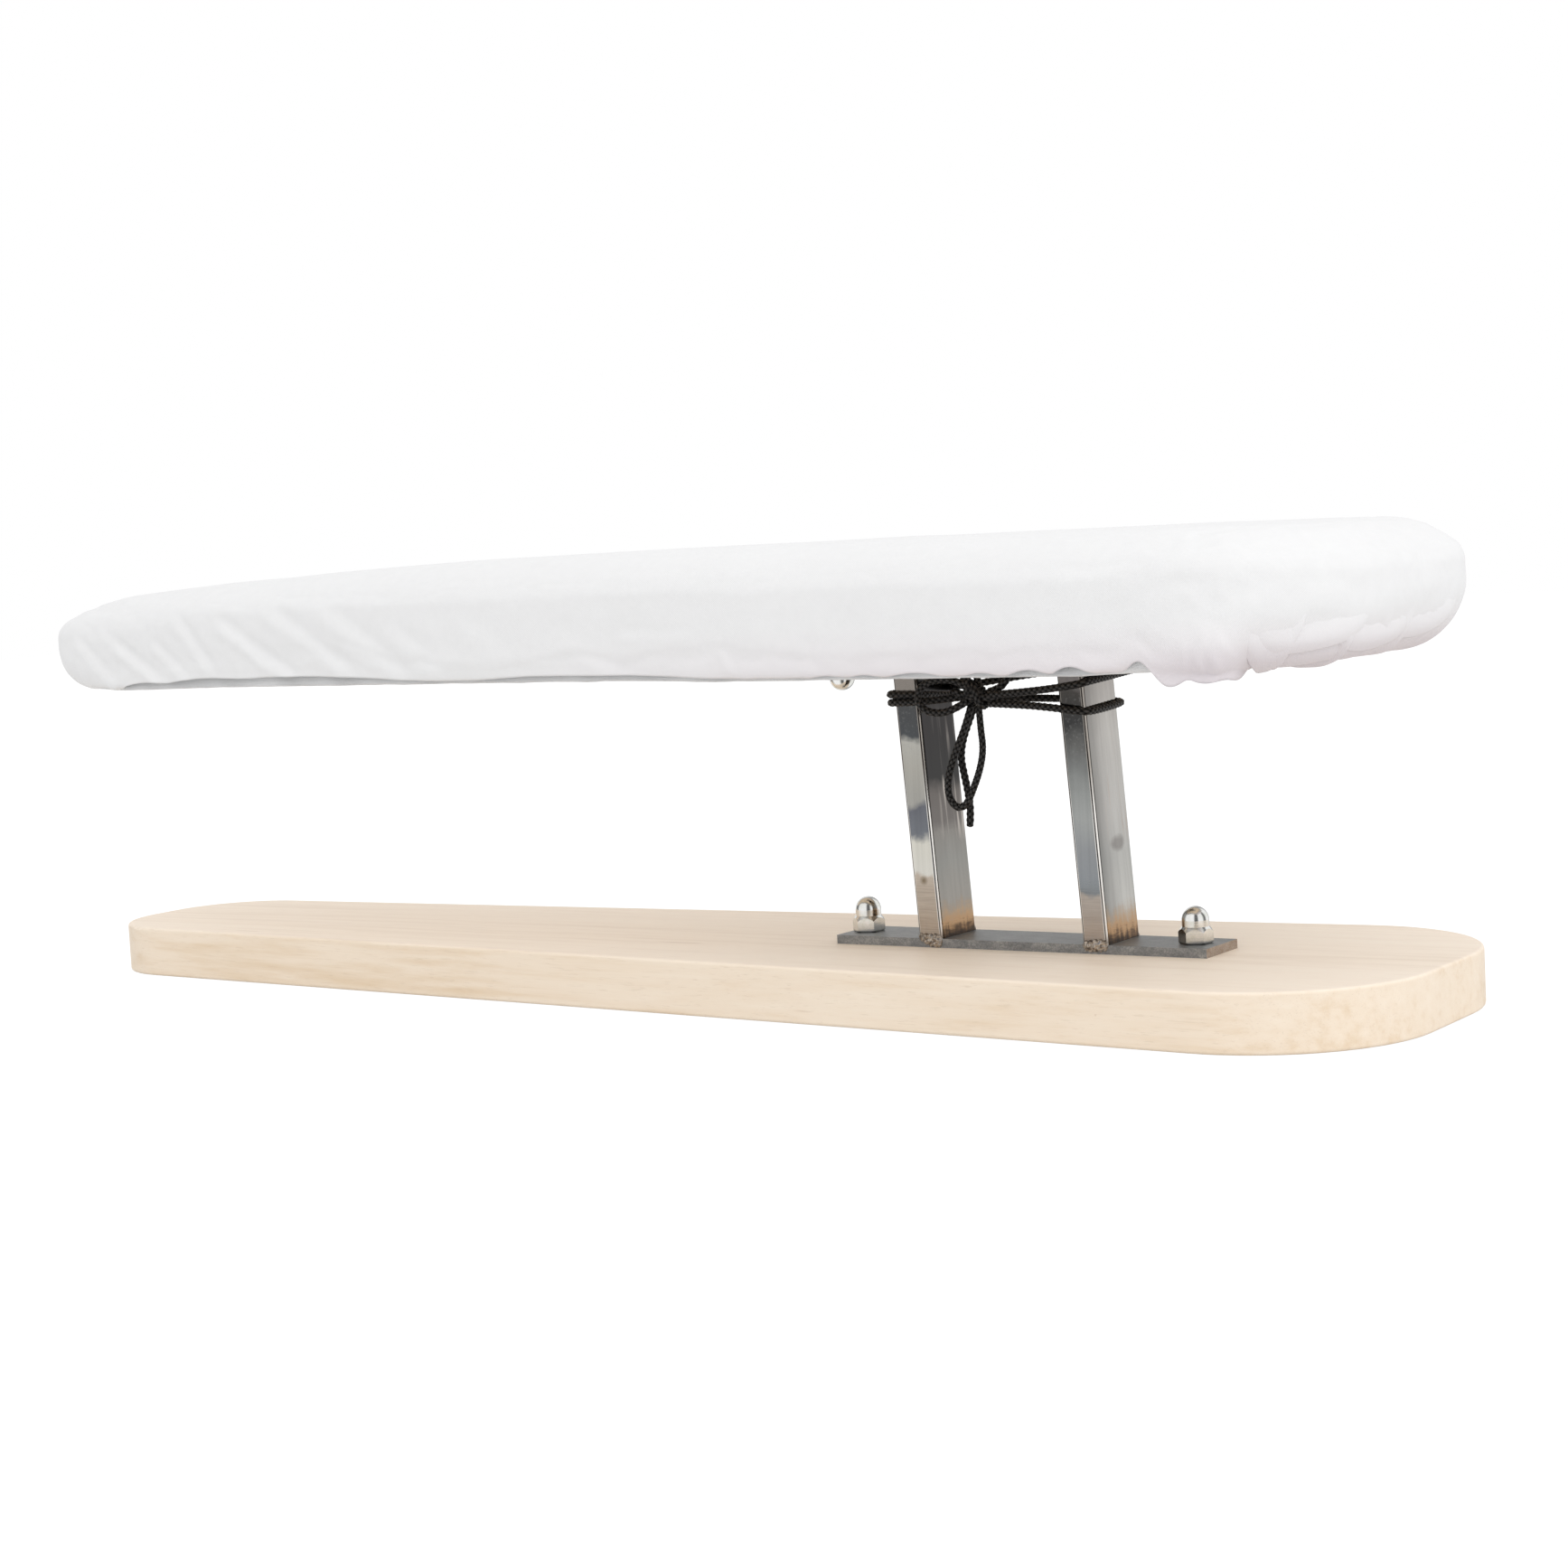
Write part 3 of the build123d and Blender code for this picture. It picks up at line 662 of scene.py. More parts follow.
def braided_tube(line, places, closed=False, flatten=None, taper_end=False):
    """Ring points and faces of a braided cord along a line, in millimetres."""
    across, other = carried_frames(line, closed)
    turn = np.linspace(0.0, tau, BRAID_RING, endpoint=False)
    spin, along = np.meshgrid(turn, places)
    lumps = braid_height(spin, along)
    radius = CORD_DIAMETER / 2 - BRAID_RELIEF + BRAID_RELIEF * lumps
    radius = radius[:, :, None]
    wide = np.ones(len(line)) if flatten is None else flatten
    if taper_end:
        left = places[-1] - places
        close = np.clip(left / TAPER_LENGTH, 0.0, 1.0)
        wide = wide * (TAPER_TIP + (1.0 - TAPER_TIP) * np.sqrt(1.0 - (1.0 - close) ** 2))
    slim = wide if taper_end else 1.0 / wide
    points = (
        line[:, None]
        + across[:, None] * np.cos(spin)[:, :, None] * radius * wide[:, None, None]
        + other[:, None] * np.sin(spin)[:, :, None] * radius * slim[:, None, None]
    )
    rows = len(line)
    faces = grid_faces(rows, BRAID_RING)
    end = (rows - 1) * BRAID_RING
    if closed:
        for k in range(BRAID_RING):
            nxt = (k + 1) % BRAID_RING
            faces.append((end + k, end + nxt, nxt, k))
    points, lumps = points.reshape(-1, 3), lumps.ravel()
    if not closed:
        points, lumps = np.concatenate([points, line[:1], line[-1:]]), np.append(lumps, (0.0, 0.0))
        first, last = len(points) - 2, len(points) - 1
        for k in range(BRAID_RING):
            nxt = (k + 1) % BRAID_RING
            faces.append((nxt, k, first))
            faces.append((end + k, end + nxt, last))
    return points, faces, lumps


def keep_lumps(piece, lumps):
    """Stores the braid's relief on the piece, for its material."""
    layer = piece.data.attributes.new("lump", "FLOAT", "POINT")
    layer.data.foreach_set("value", np.asarray(lumps, np.float32))


# Routes of the drawcord's free stretches, in metres, as in the CAD source.
HEEL_STRAND = [
    (0.243, 0.09035, 0.1567), (0.237, 0.08998, 0.1567), (0.2338, 0.0899, 0.1517),
    (0.2318, 0.0889, 0.1455), (0.2304, 0.079, 0.1448), (0.2302, 0.06, 0.1456),
    (0.2314, 0.036, 0.1452), (0.2312, 0.0144, 0.1439), (0.2308, -0.0144, 0.1424),
    (0.2275, -0.0177, 0.1414), (0.212, -0.018, 0.1395), (0.197, -0.0175, 0.1383),
    (0.183, -0.0172, 0.1374),
]
HEEL_TURN = [
    (0.1836, -0.0166, 0.1337), (0.199, -0.0175, 0.1331), (0.213, -0.0179, 0.1319),
    (0.2284, -0.0177, 0.1299), (0.2317, -0.0144, 0.1295), (0.2317, 0.0144, 0.1311),
    (0.2284, 0.0177, 0.1316), (0.217, 0.0177, 0.1323), (0.2134, 0.0146, 0.1328),
    (0.2, 0.0022, 0.1345), (0.1844, -0.0122, 0.1358),
]
TIP_STRAND = [
    (0.214, 0.08858, 0.1567), (0.22, 0.08895, 0.1567), (0.2232, 0.0891, 0.1517),
    (0.2242, 0.088, 0.1455), (0.2184, 0.0785, 0.1447), (0.206, 0.064, 0.1454),
    (0.19, 0.0485, 0.1446), (0.172, 0.0335, 0.1426), (0.156, 0.0214, 0.1402),
    (0.1445, 0.0178, 0.1391), (0.134, 0.0177, 0.1388), (0.1307, 0.0144, 0.1386),
    (0.1307, -0.0144, 0.1383), (0.134, -0.0177, 0.1382), (0.1453, -0.0177, 0.1381),
    (0.1486, -0.0144, 0.138), (0.1488, 0.0144, 0.1356), (0.1455, 0.0177, 0.1351),
    (0.1342, 0.0177, 0.1348), (0.1309, 0.0144, 0.1347), (0.1309, -0.0144, 0.1346),
    (0.1342, -0.0177, 0.1346), (0.147, -0.0179, 0.1349), (0.16, -0.0166, 0.1358),
    (0.1715, -0.0142, 0.1369),
]
SIDE_LOOP = [
    (0.1736, -0.0189, 0.1352), (0.1672, -0.0208, 0.1312), (0.1598, -0.0218, 0.1299),
    (0.1532, -0.0226, 0.1316), (0.15, -0.0228, 0.1368), (0.1522, -0.0224, 0.1422),
    (0.1582, -0.0218, 0.1448), (0.1652, -0.0208, 0.145), (0.1708, -0.0196, 0.1432),
    (0.1746, -0.0178, 0.1404),
]
HANGING_LOOP = [
    (0.1732, -0.0156, 0.1326), (0.1712, -0.0168, 0.1252), (0.1678, -0.0178, 0.117),
    (0.1638, -0.0182, 0.1082), (0.1612, -0.0184, 0.1), (0.1614, -0.0184, 0.0926),
    (0.1652, -0.0182, 0.0878), (0.17, -0.018, 0.0892), (0.1732, -0.0178, 0.0952),
    (0.1776, -0.0176, 0.105), (0.1796, -0.0174, 0.1142), (0.1784, -0.017, 0.1232),
    (0.1776, -0.0162, 0.1322),
]
UPPER_LOOP = [
    (0.1818, -0.014, 0.1388), (0.1868, -0.014, 0.1398), (0.1908, -0.0138, 0.1436),
    (0.192, -0.0134, 0.149), (0.188, -0.013, 0.1529), (0.1814, -0.0128, 0.1528),
    (0.1764, -0.013, 0.149), (0.1754, -0.0134, 0.1448), (0.1766, -0.0136, 0.1412),
]
TAIL = [
    (0.173, -0.012, 0.1326), (0.1694, -0.0122, 0.1248), (0.1662, -0.0124, 0.117),
    (0.1648, -0.0122, 0.1094), (0.1662, -0.012, 0.1016), (0.168, -0.0122, 0.093),
    (0.1687, -0.0124, 0.0856), (0.168, -0.0126, 0.079),
]

# CAD node: route, real length in metres, far end, lay.
FREE_CORDS = {
    "drawcord_heel_strand": (HEEL_STRAND, 0.170, "knot", "taut"),
    "drawcord_heel_turn": (HEEL_TURN, 0.138, "knot", "taut"),
    "drawcord_tip_strand": (TIP_STRAND, 0.306, "knot", "taut"),
    "bow_side_loop": (SIDE_LOOP, 0.0575, "knot", "loose"),
    "bow_hanging_loop": (HANGING_LOOP, 0.097, "knot", "hanging"),
    "bow_upper_loop": (UPPER_LOOP, 0.041, "knot", "loose"),
    "bow_tail": (TAIL, 0.0555, "bare", "hanging"),
}


def loop_squeeze(places):
    """The hanging loop's braid is flattened, and seen flat on one side and edge on the other."""
    share = places / places[-1]
    return 1.0 + 0.13 * np.cos(tau * share * 0.5)


def make_cords():
    """The free stretches of the drawcord and the knot that joins them."""
    knot = make_knot()
    for node, (route, length, far_end, lay) in FREE_CORDS.items():
        line, places = evenly(spline_line(node, route), BRAID_STEP)
        squeeze = loop_squeeze(places) if node == "bow_hanging_loop" else None
        points, faces, lumps = braided_tube(line, places, flatten=squeeze, taper_end=far_end == "bare")
        piece = new_piece(node + "_braid", points, faces, BLACK_BRAID)
        keep_lumps(piece, lumps)
        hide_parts(node)


# Turns of the bow knot: half axes, tilt about Y and about Z, and shift from the knot's middle.
KNOT_TURNS = [
    ((5.3, 3.3), 62.0, 12.0, (0.6, -0.4, 0.2)),
    ((4.6, 3.2), -38.0, -10.0, (-1.4, 0.0, -0.4)),
    ((4.2, 2.9), 12.0, 24.0, (1.0, 0.4, 0.6)),
    ((5.2, 3.6), 78.0, 16.0, (-4.6, 0.6, 3.6)),
    ((4.6, 3.0), 24.0, -18.0, (-3.6, 0.9, 4.8)),
    ((4.6, 2.8), 8.0, 10.0, (-7.6, 0.4, 0.8)),
    ((4.4, 2.2), -6.0, -8.0, (4.6, 0.2, -0.6)),
]


def make_knot():
    """Bow knot: turns of the cord that wrap the crossing, seen as one lump."""
    low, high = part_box("drawcord_knot")
    centre = np.array((low + high) / 2) / MM
    all_points, all_faces, all_lumps, offset = [], [], [], 0
    for (long, short), lean, twist, shift in KNOT_TURNS:
        angle = np.linspace(0.0, tau, 90, endpoint=False)
        ring = np.stack([long * np.cos(angle), short * np.sin(angle), 0.7 * np.sin(2 * angle)], 1)
        lean_m = np.array(Matrix.Rotation(radians(lean), 3, "Y"))
        twist_m = np.array(Matrix.Rotation(radians(twist), 3, "Z"))
        ring = ring @ lean_m.T @ twist_m.T + centre + shift
        steps = np.linalg.norm(np.roll(ring, -1, 0) - ring, axis=1)
        places = np.concatenate([[0.0], np.cumsum(steps)[:-1]])
        points, faces, lumps = braided_tube(ring, places, closed=True)
        all_points.append(points)
        all_lumps.append(lumps)
        all_faces += [tuple(i + offset for i in face) for face in faces]
        offset += len(points)
    piece = new_piece("drawcord_knot_turns", np.concatenate(all_points), all_faces, BLACK_BRAID)
    keep_lumps(piece, np.concatenate(all_lumps))
    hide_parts("drawcord_knot")
    return piece


# ---------------------------------------------------------------- shape of the padded arm

cover_low, cover_high = (np.array(corner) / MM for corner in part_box("cover"))
# The cover pulls the soft rim under the arm up a little, and further in the tip's half.
RIM_LIFT = 0.4
TIP_RIM_LIFT = 1.0
rim_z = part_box("felt_pad")[0].z / MM + RIM_LIFT

ARM_TIP_X = cover_low[0] - 1.2
ARM_HEEL_X = cover_high[0] - 0.8
TIP_HALF_WIDTH = 55.7
HEEL_HALF_WIDTH = 103.0
TIP_RADIUS = 48.9
HEEL_RADIUS = 68.3
CROWN = 1.8
TIP_DROP = 13.2
HEEL_DROP = 2.3
SPINE_INSETS = (55.0, 85.0)
TIP_SAG = 1.0
TUCK = 14.0


def half_outline():
    """The near half of the arm's outline, tip to heel: points, outward normals and distances."""
    taper = atan((HEEL_HALF_WIDTH - TIP_HALF_WIDTH) / (ARM_HEEL_X - ARM_TIP_X))
    side_x, side_y = -sin(taper), cos(taper)
    reach = side_x * ARM_TIP_X + side_y * TIP_HALF_WIDTH
    corners = []
    for x, radius, turn in (
        (ARM_TIP_X + TIP_RADIUS, TIP_RADIUS, np.linspace(pi, pi / 2 + taper, 60)),
        (ARM_HEEL_X - HEEL_RADIUS, HEEL_RADIUS, np.linspace(pi / 2 + taper, 0.0, 60)),
    ):
        y = (reach - radius - side_x * x) / side_y
        corners.append(np.stack([x + radius * np.cos(turn), -y - radius * np.sin(turn), 0 * turn], 1))
    line = np.concatenate([[(ARM_TIP_X, 0.0, 0.0)], *corners, [(ARM_HEEL_X, 0.0, 0.0)]])
    line, places = evenly(line, 0.5)
    away = unit(np.gradient(line, axis=0))
    away = np.stack([away[:, 1], -away[:, 0]], 1)
    mirrored = np.concatenate([away[40:0:-1] * (1, -1), away, away[-2:-42:-1] * (1, -1)])
    window = np.hanning(25) / np.hanning(25).sum()
    eased = np.stack([np.convolve(mirrored[:, k], window, "same") for k in (0, 1)], 1)[40:-40]
    return line[:, :2], unit(eased), places


OUTLINE, OUTLINE_NORMALS, OUTLINE_PLACES = half_outline()
HALF = OUTLINE_PLACES[-1]


def outline_at(place):
    """Point and outward normal at a distance round the arm: near side first, then the far side."""
    folded = np.abs((place + HALF) % (2 * HALF) - HALF)
    far = np.where((place % (2 * HALF)) > HALF, -1.0, 1.0)
    point = [np.interp(folded, OUTLINE_PLACES, OUTLINE[:, k]) for k in (0, 1)]
    normal = [np.interp(folded, OUTLINE_PLACES, OUTLINE_NORMALS[:, k]) for k in (0, 1)]
    return (point[0], point[1] * far), (normal[0], normal[1] * far)


def section_sizes(x):
    """Width and height of the upper rounding, then of the lower one, then the top's height, at x."""
    near_tip = 1.0 - smoothstep((x - ARM_TIP_X - 20.0) / 54.0)
    near_heel = smoothstep((x - ARM_HEEL_X + 109.0) / 89.0)

    def mix(side, tip, heel):
        return side + (tip - side) * near_tip + (heel - side) * near_heel

    end = x / 380.0
    top = cover_high[2] + CROWN - TIP_DROP * np.maximum(-end, 0) ** 2 - HEEL_DROP * np.maximum(end, 0) ** 2
    return mix(17.5, 43.9, 31.2), mix(17.5, 18.0, 19.7), mix(2.0, 17.7, 31.5), mix(3.0, 22.2, 29.6), top


def hanging(place):
    """Where the near hem hangs free instead of tucking in, from 0 to 1."""
    return smoothstep((place - 714.0) / 9.0) * (1.0 - smoothstep((place - 757.0) / 12.0)) * (place < HALF)


def skin_profile(x, hang=0.0):
    """Inset and height of the arm's skin at x, from under the arm to its rim."""
    top_wide, top_tall, low_wide, low_tall, top = section_sizes(x)
    low_wide = low_wide * (1.0 - 0.6 * hang)
    low_z = rim_z - TIP_SAG * (1.0 - smoothstep((x + 330.0) / 110.0))
    low_z += TIP_RIM_LIFT * (1.0 - smoothstep((x - 30.0) / 60.0))
    low = np.linspace(-pi / 2, 0.0, 40)
    high = np.linspace(0.0, pi / 2, 40)
    under = (low_wide + TUCK * (1.0 - hang), low_z + 0.8 * (1.0 - hang) - TUCK * hang)
    inset = np.concatenate([[under[0]], low_wide * (1 - np.cos(low)), top_wide * (1 - np.cos(high))])
    height = np.concatenate(
        [[under[1]], low_z + low_tall * (1 + np.sin(low)), top - top_tall * (1 - np.sin(high))]
    )
    return inset, height


def arm_skin(columns, rows, crown_rows, hem_start=None, depth=0.0, hang=False):
    """A grid over the arm from its hem to its spine. Returns the points, and each one's place
    round the arm and height. hem_start says how far up the skin each column begins, and depth
    how far the grid lies under the skin."""
    place = np.arange(columns) * 2 * HALF / columns
    (x, y), (out_x, out_y) = outline_at(place)
    grid = np.zeros((rows + crown_rows, columns, 3))
    share = np.linspace(0.0, 1.0, rows)
    for k in range(columns):
        inset, height = skin_profile(x[k], hanging(place[k]) if hang else 0.0)
        steps = np.hypot(np.diff(inset), np.diff(height))
        along = np.concatenate([[0.0], np.cumsum(steps)]) - steps[0]
        start = 0.0 if hem_start is None else hem_start(place[k])
        wanted = start + share * (along[-1] - start)
        d = np.interp(wanted, along, inset)
        z = np.interp(wanted, along, height)
        slope = unit(np.stack([np.gradient(d), np.gradient(z)], 1))
        d = d + depth * slope[:, 1]
        z = z - depth * slope[:, 0]
        grid[:rows, k, 0] = x[k] - out_x[k] * d
        grid[:rows, k, 1] = y[k] - out_y[k] * d
        grid[:rows, k, 2] = z
        spine_x = np.clip(x[k], ARM_TIP_X + SPINE_INSETS[0], ARM_HEEL_X - SPINE_INSETS[1])
        spine = np.array([spine_x, 0.0, section_sizes(spine_x)[4] - depth])
        for r in range(crown_rows):
            t = (r + 1) / crown_rows
            grid[rows + r, k] = grid[rows - 1, k] * (1 - t) + spine * t
    low, high = max(rows - 10, 1), min(rows + 6, len(grid) - 1)
    for _ in range(14):
        grid[low:high] = 0.5 * grid[low:high] + 0.25 * (grid[low - 1 : high - 1] + grid[low + 1 : high + 1])
    places = np.broadcast_to(place, grid.shape[:2])
    return grid, places


def grid_normals(grid):
    """Outward normals of a grid whose columns go round the arm and whose rows climb it."""
    round_it = np.roll(grid, -1, 1) - np.roll(grid, 1, 1)
    up = np.gradient(grid, axis=0)
    normals = np.cross(round_it, up)
    flat = np.linalg.norm(normals, axis=-1) < 1e-6
    normals[flat] = (0.0, 0.0, 1.0)
    return unit(normals)


# ---------------------------------------------------------------- cover

COVER_COLUMNS = 640
COVER_ROWS = 34
CROWN_ROWS = 12
CLOTH_THICKNESS = 0.7

# Hem on the near side: how far up the skin it lies at each distance from the tip, in millimetres.
NEAR_HEM = [
    (0, -12), (96, -12), (108, -5), (113, 0.2), (117, 2.4), (125, 3.6), (133, 4.0), (141, 3.8),
    (150, 3.2), (160, 4.1), (171, 4.9), (183, 5.1), (202, 4.4), (213, 4.4), (224, 4.9), (240, 5.0),
    (262, 4.8), (285, 4.0), (306, 3.1), (320, 2.2), (330, 1.8), (345, 1.4), (364, 1.3), (380, 2.1),
    (398, 3.0), (427, 2.9), (460, 2.6), (496, 1.9), (524, 0.9), (559, 0.4), (722, 0.3), (724.5, -1.3),
    (726.5, -4.0), (728.5, -5.4), (731.5, -6.1), (734.5, -5.9), (737, -4.8), (738.6, -3.2), (740, -2.6),
    (741.5, -3.4), (744, -4.7), (748, -5.1), (753, -4.3), (757, -3.7), (764, -6.5), (780, -11.0),
    (880, -12.0),
]
# Arches of the hem between two places, and their height.
NEAR_ARCHES = [
    (560, 578, 1.3), (581, 596, 1.5), (600, 629, 2.2), (639, 655, 1.8), (660, 680, 2.7), (681, 699, 3.8),
    (712, 728, 6.4),
]


def near_hem(place):
    """Height of the near hem above the felt's rim, along the skin."""
    base = np.interp(place, *np.array(NEAR_HEM, float).T)
    for start, end, height in NEAR_ARCHES:
        t = np.clip((place - start) / (end - start), 0.0, 1.0)
        base = base + height * np.sin(pi * t) ** 0.8
    return base


def far_hem(place):
    """The far hem: tucked under at both ends, in shallow arches along the side."""
    along = 0.9 + 0.8 * np.sin(place / 19.0) + 0.9 * np.sin(place / 11.3 + 1.0) * np.sin(place / 47.0)
    ends = np.maximum(1.0 - smoothstep((place - 95.0) / 22.0), smoothstep((place - 735.0) / 50.0))
    return np.maximum(along, 0.2) * (1.0 - ends) - 12.0 * ends


def hem_start(place):
    """How far up the skin the hem lies at a distance round the arm."""
    return near_hem(place) if place <= HALF else far_hem(2 * HALF - place)


PULL_STRENGTH = 1.5
PLEAT_STRENGTH = 2.2
# Creases that the drawcord pulls into the near side: upper end, lower end, as (place, height),
# then depth and width.
PULLS = [
    ((84, 177), (112, 154), 0.9, 3.2), ((103, 184), (128, 165), 0.5, 3.0),
    ((115, 175), (146, 156), 1.1, 3.0), ((145, 175), (167, 157), 0.9, 3.0),
    ((163, 188), (187, 161), 1.0, 3.4), ((196, 185), (245, 157), 1.2, 3.4),
    ((216, 172), (232, 158), 0.4, 2.6), ((233, 190), (284, 161), 1.0, 4.2),
    ((272, 190), (323, 158), 0.8, 4.6), ((316, 180), (344, 162), 0.5, 4.4),
    ((426, 172), (463, 154), 0.35, 4.5), ((457, 173), (496, 172.5), 0.22, 2.4),
    ((516, 164), (521, 155), 0.5, 1.8), ((360, 183), (392, 166), 0.25, 5.0),
    ((560, 168), (566, 152), 0.3, 3.0),
]
# Narrow pleats that stand out near the heel: upper end, lower end, height, width.
PLEATS = [
    ((749.5, 168), (745.5, 150), 1.3, 1.5), ((755, 168), (750.5, 150), 1.2, 1.5),
    ((760, 168), (753, 150), 1.0, 1.6), ((742, 166), (740, 151), 0.5, 2.0),
    ((781, 164), (784, 149), 1.4, 2.4), ((812, 165), (817, 154), 1.6, 2.2),
    ((770, 163), (768, 152), 0.6, 2.2), ((797, 162), (800, 152), 0.5, 2.6),
    ((838, 166), (842, 156), 0.8, 2.6), ((856, 168), (862, 157), 1.3, 2.6),
]


def crease_places(places, heights, start, end):
    """Position along a crease from 0 to 1, and signed distance across it."""
    run = np.array(end, float) - start
    length = np.hypot(*run)
    run /= length
    du, dz = places - start[0], heights - start[1]
    return (du * run[0] + dz * run[1]) / length, du * run[1] - dz * run[0]


def waves(first, second, seed, count, longest, shortest):
    """Smooth seeded waves over two coordinates, about one high."""
    draw = np.random.default_rng(seed)
    total = np.zeros(np.broadcast(first, second).shape)
    for _ in range(count):
        angle, shift = draw.uniform(0, pi), draw.uniform(0, tau)
        size = tau / np.exp(draw.uniform(np.log(shortest), np.log(longest)))
        total += np.sin(size * (first * cos(angle) + second * sin(angle)) + shift)
    return total / np.sqrt(count / 2.0)


def cover_relief(places, heights):
    """How far the cover stands out from the arm's plain skin, in millimetres."""
    relief = 0.2 * waves(places, heights, 7, 14, 150.0, 45.0)
    side = 1.0 - smoothstep((heights - 186.0) / 12.0)
    relief = relief + 0.10 * side * waves(places, heights, 11, 12, 34.0, 14.0)
    for start, end, depth, width in PULLS:
        t, across = crease_places(places, heights, start, end)
        fade = smoothstep((t + 0.18) / 0.3) * (1.0 - smoothstep((t - 0.88) / 0.26))
        valley = np.exp(-((across / width) ** 2))
        ridge = np.exp(-(((across - 1.5 * width) / (1.25 * width)) ** 2))
        relief = relief + PULL_STRENGTH * depth * fade * (ridge - 0.8 * valley)
    for start, end, height, width in PLEATS:
        t, across = crease_places(places, heights, start, end)
        fade = smoothstep((t + 0.05) / 0.5) * (1.0 - smoothstep((t - 1.3) / 0.3))
        relief = relief + PLEAT_STRENGTH * height * fade * np.exp(-((across / width) ** 2))
    return relief + gather_relief(places, heights)


def gather_relief(places, heights):
    """Gathers that the tight hem makes round both ends and along the far side."""
    near = places <= HALF
    folded = np.where(near, places, 2 * HALF - places)
    round_tip = 1.0 - smoothstep((folded - 60.0) / 45.0)
    round_heel = smoothstep((folded - 770.0) / 60.0)
    far = np.where(near, 0.0, 1.0)
    low = 1.0 - smoothstep((heights - rim_z - 4.0) / 26.0)
    strength = np.maximum(0.45 * round_tip, 0.8 * round_heel * np.where(near, 0.6, 1.0))
    strength = np.maximum(strength, far * (0.45 + 0.35 * (round_tip + round_heel)))
    drift = 4.0 * np.sin(places / 23.0) + 3.0 * np.sin(places / 41.0 + 2.0) + 0.25 * (heights - rim_z)
    ridges = np.abs(np.sin((places + drift) * pi / 10.5)) ** 0.8 - 0.55
    return 1.7 * strength * low * ridges


def hem_casing(steps_up):
    """The hem's casing, swollen by the drawcord inside it, by distance from the hem's edge."""
    return 0.45 * np.exp(-(((steps_up - 4.8) / 3.6) ** 2))


# Overlapping flaps of gathered cloth near the heel. Lower edge as (place, height) points, height
# of the flap, lean of its sides, how far it stands out, and how freely it hangs. The whole edge
# is laid FLAP_RAISE higher, and the flap's top is buried BURY deep under the cover's skin.
FLAP_RAISE = 1.0
BURY = 0.9
FLAPS = [
    (
        [
            (772, 151.5), (778, 149.4), (789, 149.6), (800, 150.2), (812, 151.2), (824, 152.6),
            (836, 155.0), (842, 158.0),
        ],
        11.0, 1.0, 1.7, 0.0,
    ),
    (
        [
            (768, 158.5), (775, 155.6), (784, 155.6), (793, 156.2), (802, 157.4), (810, 158.6),
            (819, 160.6), (823, 164.0),
        ],
        11.0, 1.0, 2.6, 0.0,
    ),
    (
        [
            (806, 161.0), (811, 156.6), (820, 155.0), (832, 154.9), (844, 155.8), (854, 157.5),
            (862, 160.5), (866, 165.0),
        ],
        12.0, -3.0, 2.9, 0.0,
    ),
    (
        [
            (846, 164), (852, 159.2), (862, 157.4), (876, 157.2), (890, 158.8), (902, 161.6),
            (910, 166),
        ],
        12.0, -4.0, 2.4, 0.0,
    ),
    (
        [
            (764, 158), (767, 152.5), (772, 149.2), (778, 149.0), (782, 151.5), (786, 155.5),
            (789, 161),
        ],
        15.0, 3.0, 3.0, 0.0,
    ),
]


def on_skin(places, heights, lift, hang):
    """Points on the arm's lower skin by place and height. hang lets cloth hang instead of tucking in."""
    (x, y), (out_x, out_y) = outline_at(places)
    sizes = section_sizes(x)
    low_wide, low_tall = sizes[2], sizes[3]
    turn = np.arcsin(np.clip((heights - rim_z) / low_tall - 1.0, -1.0, 0.0))
    inset = low_wide * (1.0 - np.cos(turn)) * (1.0 - hang)
    outward = np.maximum(np.cos(turn), 0.35 + 0.65 * hang)
    inset = inset - lift * outward
    height = heights + lift * np.minimum(np.sin(turn), 0) * (1 - hang)
    return np.stack([x - out_x * inset, y - out_y * inset, height], -1)


def smooth_line(points, count):
    """An even line through given points, rounded at its corners."""
    points = np.array(points, float)
    lengths = np.concatenate([[0.0], np.cumsum(np.hypot(*np.diff(points, axis=0).T))])
    wanted = np.linspace(0.0, lengths[-1], count)
    line = np.stack([np.interp(wanted, lengths, points[:, k]) for k in (0, 1)], 1)
    for _ in range(6):
        line[1:-1] = 0.5 * line[1:-1] + 0.25 * (line[:-2] + line[2:])
    return line


def flap_grid(edge, tall, lean, lift, hang, columns=33, rows=15):
    """One overlapping flap: its upper edge lies under the cover's skin."""
    line = smooth_line(edge, columns)
    t = np.linspace(0.0, 1.0, rows)[:, None]
    places = line[None, :, 0] + lean * (1.0 - t)
    heights = line[None, :, 1] + FLAP_RAISE + tall * (1.0 - t)
    u = np.linspace(0.0, 1.0, columns)
    middle = np.sin(pi * u) ** 0.6
    rise = smoothstep(t / 0.8) * (lift + BURY) * middle - BURY
    rise = rise + 0.25 * np.sin(3 * pi * u) * t
    return on_skin(places, heights, rise, hang * smoothstep(t / 0.6))


# How long the cover relaxes, how far a point may move in millimetres, and how many of its lowest
# rows stay still.
SETTLE_FRAMES = 14
SETTLE_CAP = 1.5
SETTLE_FIXED_ROWS = 3
CLOTH_SETTINGS = {
    "quality": 8,
    "mass": 0.0003,
    "tension_stiffness": 5.0,
    "compression_stiffness": 5.0,
    "shear_stiffness": 2.0,
    "bending_stiffness": 0.05,
    "use_pressure": True,
    "uniform_pressure_force": 2.5,
    "vertex_group_mass": "fixed",
}


